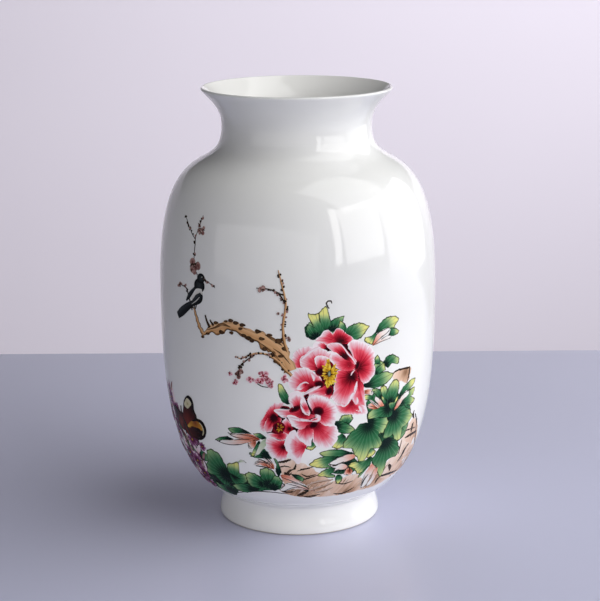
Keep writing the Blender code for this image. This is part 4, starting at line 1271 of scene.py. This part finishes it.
plumBough = {
    "bough": [
        (-4.5, 102.8, 3.7), (-6.9, 108.7, 4.0), (-9.2, 112.2, 3.9), (-13.1, 116.6, 4.4),
        (-17.6, 119.0, 4.0), (-22.8, 121.4, 3.0), (-28.8, 123.5, 2.6), (-35.8, 125.5, 2.4),
        (-41.8, 125.1, 2.9), (-46.4, 123.2, 3.2), (-51.5, 121.8, 1.9), (-57.3, 117.9, 0.6),
    ],
    "end": [(-56.0, 119.0, 1.3), (-58.9, 122.5, 1.2), (-61.1, 127.5, 0.9), (-63.1, 132.5, 0.5)],
    "barkTone": 0.5,
    "barkKnots": 0.2,
    "grooves": [
        [(-53.2, 121.7, 0.15), (-47.8, 123.7, 0.5), (-42.8, 126.2, 0.9), (-37.6, 125.3, 0.2)],
        [(-37.1, 124.4, 0.12), (-32.1, 122.4, 0.35), (-27.3, 119.8, 0.12)], [(-17.8, 122.7, 0.2),
        (-12.8, 120.1, 0.9), (-8.6, 117.1, 0.2)], [(-21.6, 118.6, 0.12), (-17.0, 115.6, 0.35),
        (-10.7, 110.3, 0.12)], [(-13.4, 115.3, 0.12), (-8.9, 112.2, 0.45), (-4.2, 106.7, 0.12)],
    ],
    "grooveTone": -0.7,
    "stubs": [[(-51.2, 123.2, 0.9), (-53.2, 126.4, 0.6), (-54.4, 129.8, 0.4)],
              [(-48.5, 124.7, 0.8), (-50.2, 126.4, 0.5), (-51.1, 127.7, 0.3)]],
    "stubTone": 0.6,
    "moss": [  # around, rise, size
        (-37.5, 128.9, 1.4), (-34.4, 128.0, 1.3), (-30.5, 127.1, 1.3), (-31.8, 125.1, 1.1),
        (-43.2, 121.8, 1.4), (-37.2, 122.2, 1.2), (-27.2, 120.2, 1.5), (-21.7, 124.2, 1.5),
        (-19.7, 120.3, 1.3), (-10.5, 119.5, 1.7), (-7.0, 115.3, 1.7), (-29.7, 121.4, 1.3),
        (-52.9, 119.5, 1.0), (-56.7, 117.2, 0.9), (-17.9, 114.7, 1.5), (-14.1, 111.5, 1.6),
        (-11.4, 108.3, 1.7), (-15.6, 122.6, 1.3), (-25.2, 118.9, 1.3), (-47.1, 126.4, 1.2),
        (-40.5, 128.1, 1.0), (-9.0, 111.2, 1.3),
    ],
    "mossPoints": 6,
    "mossWide": 1.3,
    "mossTall": 0.8,
    "mossVary": (0.75, 1.2),
    "twigs": [
        [(-5.7, 113.8, 0.8), (-7.5, 120.4, 0.8), (-8.0, 127.1, 0.7), (-6.9, 135.7, 0.6), (-6.4, 139.9, 0.6),
         (-7.5, 146.4, 0.5), (-9.0, 152.4, 0.4), (-10.4, 158.1, 0.2)],
        [(-6.6, 139.9, 0.4), (-9.1, 144.0, 0.4), (-12.0, 146.6, 0.4), (-16.8, 147.9, 0.3),
         (-22.4, 148.0, 0.2)],
        [(-3.6, 100.2, 0.9), (-7.8, 104.6, 0.9), (-11.0, 108.4, 0.8), (-16.2, 111.5, 0.6),
         (-21.9, 112.1, 0.5), (-27.8, 110.2, 0.4), (-32.0, 108.3, 0.3), (-34.3, 109.1, 0.2)],
        [(-23.8, 111.0, 0.4), (-30.5, 106.0, 0.4), (-32.7, 102.9, 0.3), (-33.9, 99.4, 0.2)],
        [(-64.6, 130.8, 0.4), (-67.4, 138.0, 0.4), (-69.8, 142.4, 0.3), (-75.7, 143.3, 0.2)],
        [(-60.5, 150.9, 0.35), (-63.4, 155.8, 0.35), (-63.8, 161.6, 0.3), (-63.8, 167.5, 0.3),
         (-63.9, 171.6, 0.25), (-62.5, 175.9, 0.25), (-61.4, 180.1, 0.2), (-60.7, 183.7, 0.15)],
        [(-64.1, 170.4, 0.25), (-67.0, 172.3, 0.25), (-70.2, 175.4, 0.2), (-73.4, 178.5, 0.2),
         (-76.8, 181.2, 0.15)],
        [(-55.0, 148.8, 0.3), (-51.5, 147.9, 0.25), (-47.4, 145.6, 0.15)],
        [(-23.7, 95.6, 0.3), (-20.4, 93.7, 0.3), (-16.5, 93.1, 0.2)],
    ],
    "twigTone": 0.3,
    "twigKnots": 0.15,
    "barkFrom": 0.6,  # half width at the start of a twig that has bark
    "budsOnTwig": (30, 16, 22, 10, 6, 18, 12, 6, 0),
    "blossoms": [  # around, rise, size, tone
        (-33.3, 99.4, 3.1, 0.4), (-27.0, 97.6, 2.3, 0.7), (-18.8, 99.4, 3.5, 0.9), (-21.7, 96.1, 2.7, 0.8),
        (-15.5, 95.8, 2.5, 0.8), (-7.9, 98.4, 2.7, 0.8), (-38.8, 99.1, 1.7, 0.7), (-35.6, 94.5, 1.9, 0.9),
        (-63.8, 155.4, 5.4, 0.3), (-60.1, 175.5, 3.2, 0.3), (-75.9, 143.0, 2.4, 0.2),
        (-70.3, 143.4, 1.4, 0.2), (-62.3, 178.2, 1.2, 0.3), (-19.4, 147.4, 2.4, 0.2),
        (-10.5, 134.5, 1.2, 0.2), (-4.7, 120.9, 1.6, 0.2), (-52.7, 148.2, 1.2, 0.2),
    ],
}
for stem in (plumBough["bough"], plumBough["end"]):
    layRibbon(stem, "barkTan", plumBough["barkTone"], plumBough["barkKnots"])
for groove in plumBough["grooves"]:
    layRibbon(groove, "barkTan", plumBough["grooveTone"])
for stub in plumBough["stubs"]:
    layRibbon(stub, "inkBrown", plumBough["stubTone"])
for x, y, size in plumBough["moss"]:
    ring = []
    for k in range(plumBough["mossPoints"]):
        pointX = x + plumBough["mossWide"] * size * hand.uniform(*plumBough["mossVary"]) * math.cos(k)
        pointY = y + plumBough["mossTall"] * size * hand.uniform(*plumBough["mossVary"]) * math.sin(k)
        ring.append((pointX, pointY))
    layShapes([(hand.random(), (x, y), ring)], "mossBrown")
for twig, budCount in zip(plumBough["twigs"], plumBough["budsOnTwig"]):
    pot = "barkTan" if twig[0][2] > plumBough["barkFrom"] else "inkBrown"
    layRibbon(twig, pot, plumBough["twigTone"], plumBough["twigKnots"])
    layBuds(twig, budCount)
for x, y, size, tone in plumBough["blossoms"]:
    layBlossom((x, y), size, tone)
finishMotif("paintedPlumBough")

# a small black and white bird on the bough's end, in the order it is painted: enamel, tone, and a line or
# a disc (around, rise, half width, half height)
perchedBird = {
    "tail": ("featherBlack", 0.3, [(-63.6, 135.1, 1.5), (-68.4, 132.2, 2.1), (-73.8, 128.5, 2.5),
                                   (-78.4, 125.3, 1.9)]),
    "leg": ("inkBrown", 0.4, [(-62.0, 135.6, 0.3), (-62.6, 133.5, 0.25), (-63.0, 132.1, 0.3)]),
    "frontLeg": ("inkBrown", 0.4, [(-60.8, 135.6, 0.3), (-61.4, 133.2, 0.25), (-62.2, 131.7, 0.3)]),
    "breast": ("featherBlack", 0.4, (-58.8, 145.4, 4.0, 3.9)),
    "belly": ("featherWhite", 0.5, [(-56.4, 142.4, 1.4), (-60.2, 141.2, 2.3), (-65.0, 137.7, 1.2)]),
    "wing": ("featherBlack", 0.5, [(-57.0, 141.0, 1.2), (-59.4, 138.0, 2.7), (-64.6, 134.1, 1.2)]),
    "farWing": ("featherBlack", 0.5, [(-62.2, 143.5, 0.8), (-66.2, 139.3, 1.3), (-69.5, 135.4, 0.4)]),
    "quill": ("featherWhite", 0.2, [(-58.2, 139.2, 0.12), (-61.0, 136.6, 0.25), (-64.6, 134.3, 0.1)]),
    "head": ("featherBlack", 0.4, (-57.6, 149.6, 2.9, 2.7)),
    "beak": ("inkBrown", 0.8, [(-55.8, 149.8, 0.7), (-54.6, 149.5, 0.4), (-53.6, 149.0, 0.12)]),
    "eye": ("featherWhite", 0.2, (-56.8, 150.4, 0.3, 0.3)),
}
for pot, tone, mark in perchedBird.values():
    if isinstance(mark, tuple):
        layDisc(mark[:2], *mark[2:], pot, tone)
    else:
        layRibbon(mark, pot, tone)
finishMotif("paintedBird")

# daisies (around, rise, petal length, tone) and grass (around, rise, heading, length, half width as a share
# of it, tone)
asterClump = {
    "blooms": [
        (-98.9, 72.5, 4.6, 0.5), (-92.0, 66.0, 5.4, 0.4), (-86.1, 60.9, 5.0, 0.3), (-76.5, 52.1, 5.6, 0.6),
        (-66.8, 50.0, 3.2, 0.6), (-86.9, 40.9, 5.6, 0.4), (-78.9, 37.5, 5.2, 0.5), (-77.0, 29.1, 5.0, 0.3),
        (-77.2, 21.7, 4.6, 0.5), (-96.7, 51.4, 5.2, 0.6), (-104.4, 61.1, 4.8, 0.5), (-94.7, 32.1, 4.8, 0.4),
        (-102.9, 41.6, 4.6, 0.6), (-87.1, 22.4, 4.2, 0.4),
    ],
    "petalCount": 14,
    "petalSway": 8,
    "petalLength": (0.8, 1.1),
    "petalHalf": 0.15,
    "petalTone": (0.6, 1.3),
    "eye": (0.15, 0.13),  # shares of the petal length
    "eyeTone": 0.0,
    "grass": [
        (-83.2, 45.4, 124, 12.1, 0.16, 0.2), (-89.4, 51.3, 101, 11.0, 0.15, 0.1),
        (-71.0, 41.8, 152, 12.2, 0.18, 0.3), (-91.3, 34.9, 144, 11.5, 0.18, 0.1),
        (-84.9, 26.1, 164, 10.6, 0.2, 0.2), (-96.7, 57.0, 80, 10.2, 0.16, 0.2),
        (-68.9, 34.8, 127, 12.1, 0.18, 0.2), (-100.0, 46.6, 111, 11.1, 0.16, 0.2),
        (-80.9, 31.4, 102, 12.0, 0.16, 0.1), (-73.1, 47.8, 96, 11.1, 0.14, 0.4),
        (-100.8, 36.6, 132, 10.2, 0.18, 0.2), (-93.5, 43.0, 70, 10.4, 0.16, 0.1),
        (-89.3, 24.8, 112, 9.1, 0.18, 0.0), (-83.3, 55.5, 61, 9.3, 0.14, 0.2),
    ],
    "grassGrid": (6, 12),
    "strayPetals": 84,
    "strayRise": (18, 76),
    "strayEdge": ([18, 30, 40, 50, 60, 70, 78], [-72, -70, -66, -64, -80, -89, -96]),  # rises, and how far
    "strayGap": 4,
    "straySpread": 12,
    "strayLimit": -107,
    "strayHeading": (50, 160),
    "strayLength": (5, 10),
    "strayHalf": (0.1, 0.2),
    "strayPots": ("asterPurple", "asterPurple", "leafGreen", "petalCurl", "plumBrown"),
    "strayTone": (0, 0.6),
    "strayGrid": (2, 6),
}
for x, y, heading, length, half, tone in asterClump["grass"]:
    layBlade((x, y), heading, length, half, "leafGreen", tone, asterClump["grassGrid"])
for i in range(asterClump["strayPetals"]):
    y = hand.uniform(*asterClump["strayRise"])
    front = np.interp(y, *asterClump["strayEdge"]) - asterClump["strayGap"]
    x = max(front - abs(hand.gauss(0, asterClump["straySpread"])), asterClump["strayLimit"])
    heading, length = hand.uniform(*asterClump["strayHeading"]), hand.uniform(*asterClump["strayLength"])
    half, pot = hand.uniform(*asterClump["strayHalf"]), hand.choice(asterClump["strayPots"])
    tone = hand.uniform(*asterClump["strayTone"])
    layBlade((x, y), heading, length, half, pot, tone, asterClump["strayGrid"])
for x, y, size, tone in asterClump["blooms"]:
    for k in range(asterClump["petalCount"]):
        sway = hand.uniform(-asterClump["petalSway"], asterClump["petalSway"])
        heading = 360 / asterClump["petalCount"] * k + sway
        length = size * hand.uniform(*asterClump["petalLength"])
        petalTone = tone * hand.uniform(*asterClump["petalTone"])
        layBlade((x, y), heading, length, asterClump["petalHalf"], "asterPurple", petalTone)
    wide, tall = asterClump["eye"]
    layDisc((x, y), wide * size, tall * size, "stamenGold", asterClump["eyeTone"])
finishMotif("paintedAsters")

butterfly = {
    "wings": [
        ("wingBrown", 0.35, (-850, 602), [-934, 692, -875, 674, -816, 668, -823, 624, -831, 562, -880, 568,
         -915, 599, -934, 638]),
        ("wingBrown", 0.5, (-851, 557), [-679, 673, -629, 670, -603, 644, -601, 605, -627, 564, -668, 542,
         -713, 538, -766, 539, -809, 553, -807, 579, -771, 618, -725, 650]),
        ("wingBrown", 0.5, (-769, 624), [-736, 797, -701, 791, -686, 765, -684, 718, -671, 677, -721, 651,
         -771, 618, -831, 562, -840, 600, -821, 654, -794, 720, -775, 763]),
        ("wingCream", 0.5, (-740, 748), [-737, 783, -717, 777, -704, 767, -701, 753, -717, 737, -743, 718,
         -765, 721, -780, 733, -772, 750, -757, 767]),
        ("wingGold", 0.5, (-688, 645), [-776, 612, -734, 644, -700, 650, -668, 659, -644, 653, -629, 640,
         -623, 620, -629, 605, -651, 613, -679, 617, -715, 613, -752, 601, -783, 595]),
    ],
    "ruffle": 0.01,
    "paleEdge": [(-64.7, 65.5, 0.24), (-62.9, 64.2, 0.38), (-62.1, 62.2, 0.48), (-62.3, 60.0, 0.48),
                 (-63.6, 57.8, 0.24)],
    "edgeTone": 0.5,
    "body": [(-82.0, 64.1, 0.4), (-79.7, 60.3, 1.1), (-76.2, 53.8, 0.4)],
    "feelers": [[(-81.8, 63.9, 0.15), (-83.4, 67.6, 0.15), (-83.1, 71.3, 0.2)],
                [(-82.0, 63.9, 0.15), (-85.9, 66.5, 0.15), (-87.5, 70.1, 0.2)]],
    "lineTone": 0.3,
}
for pot, *wing in butterfly["wings"]:
    layShapes(traced([wing]), pot, ruffle=butterfly["ruffle"])
layRibbon(butterfly["paleEdge"], "wingCream", butterfly["edgeTone"])
for line in (butterfly["body"], *butterfly["feelers"]):
    layRibbon(line, "inkBrown", butterfly["lineTone"])
finishMotif("paintedButterfly")

bpy.ops.object.select_all(action="DESELECT")
for blank in blanks.values():
    blank.select_set(True)
bpy.ops.object.delete()

studio = {
    "tableColour": (0.582, 0.593, 0.764),
    "tableRoughness": 0.28,
    "tableBack": 0.344,
    "tableFront": -1.6,
    "tableSide": 1.6,
    "tableThick": 0.03,
    "wallColour": (0.90, 0.84, 0.96),
    "wallRoughness": 0.8,
    "wallPlace": 2.0,
    "wallThick": 0.02,
    "wallSide": 3,
    "wallFoot": -1.0,
    "wallTop": 0.60,
    "grain": (3, 2),  # scale and detail
    "grainShade": 0.97,
    "skyColour": (0.93, 0.93, 1.0),
    "skyStrength": 0.08,
    "skySeen": 0.72,  # only what the camera sees of it
}


def stageMaterial(name, colour, roughness):
    material, tree, shader = newMaterial(name)
    place = tree.nodes.new("ShaderNodeTexCoord").outputs["Object"]
    shade = tuple(studio["grainShade"] * c for c in colour)
    grained = addBlend(tree, addNoise(tree, place, *studio["grain"]), colour, shade)
    tree.links.new(grained, shader.inputs["Base Color"])
    shader.inputs["Roughness"].default_value = roughness
    return material


def stageBox(name, low, high, material):
    bpy.ops.object.select_all(action="DESELECT")
    bpy.ops.mesh.primitive_cube_add(size=1)
    box = bpy.context.object
    box.name = name
    box.scale = [h - l for l, h in zip(low, high)]
    box.location = [(h + l) / 2 for l, h in zip(low, high)]
    bpy.ops.object.transform_apply(location=True, rotation=True, scale=True)
    box.data.materials.append(material)


stageBox("table", (-studio["tableSide"], studio["tableFront"], -studio["tableThick"]),
         (studio["tableSide"], studio["tableBack"], 0),
         stageMaterial("tableTop", studio["tableColour"], studio["tableRoughness"]))
stageBox("backWall", (-studio["wallSide"], studio["wallPlace"], studio["wallFoot"]),
         (studio["wallSide"], studio["wallPlace"] + studio["wallThick"], studio["wallTop"]),
         stageMaterial("wallPaint", studio["wallColour"], studio["wallRoughness"]))

# each lamp: the point it aims at, bearing from the front (right is plus), climb, distance, width, height,
# watts, colour
vaseMiddle, wallMiddle = (0, 0, 0.13), (0.15, studio["wallPlace"], -0.05)
lamps = {
    "windowStrip": (vaseMiddle, 33, 19, 1.35, 0.14, 0.90, 1.8, (1.0, 0.99, 0.97)),
    "windowPane": (vaseMiddle, 57, 19, 1.35, 0.88, 0.90, 7.4, (1.0, 0.99, 0.97)),
    "windowSide": (vaseMiddle, 105, 14, 1.40, 1.40, 1.15, 9.8, (1.0, 1.0, 1.0)),
    "ceiling": (vaseMiddle, 72, 58, 1.50, 1.40, 1.40, 11.0, (1.0, 1.0, 1.0)),
    "roomFill": (vaseMiddle, -27, 6, 1.30, 2.50, 0.70, 5.0, (1.0, 0.985, 0.955)),
    "wallWash": (wallMiddle, 20, 30, 1.10, 2.80, 0.40, 12.3, (1.0, 1.0, 1.0)),
    "wallWashLow": (wallMiddle, 0, -50, 0.75, 2.60, 0.30, 1.5, (1.0, 1.0, 1.0)),
}


def addLamp(name, aim, bearing, climb, distance, width, height, watts, colour):
    a, e = math.radians(bearing), math.radians(climb)
    way = Vector((math.sin(a) * math.cos(e), -math.cos(a) * math.cos(e), math.sin(e)))
    bpy.ops.object.light_add(type="AREA", location=Vector(aim) + way * distance)
    lamp = bpy.context.object
    lamp.name = name
    lamp.rotation_euler = way.to_track_quat("Z", "Y").to_euler()
    lamp.data.shape = "RECTANGLE"
    lamp.data.size, lamp.data.size_y = width, height
    lamp.data.energy = watts
    lamp.data.color = colour


for lampName, values in lamps.items():
    addLamp(lampName, *values)

world = bpy.data.worlds.new("studioAir")
bpy.context.scene.world = world
world.use_nodes = True
air = world.node_tree
sky = air.nodes["Background"]
sky.inputs["Color"].default_value = (*studio["skyColour"], 1)
ray = air.nodes.new("ShaderNodeLightPath")
air.links.new(addFade(air, ray.outputs["Is Camera Ray"], 0.0, 1.0, studio["skyStrength"], studio["skySeen"]),
              sky.inputs["Strength"])

view = {
    "place": (0.00118, -0.97329, 0.36444),
    "down": 13.758,
    "roll": -0.378,
    "lens": 103.98,
    "sensor": 36,
    "near": 0.01,
}
bpy.ops.object.camera_add(location=view["place"])
camera = bpy.context.object
camera.name = "photoCamera"
camera.rotation_euler = (Matrix.Rotation(math.radians(90 - view["down"]), 4, "X")
                         @ Matrix.Rotation(math.radians(view["roll"]), 4, "Z")).to_euler()
camera.data.lens = view["lens"]
camera.data.sensor_width = view["sensor"]
camera.data.clip_start = view["near"]
bpy.context.scene.camera = camera
bpy.context.scene.view_settings.view_transform = "Standard"

print("stage set")
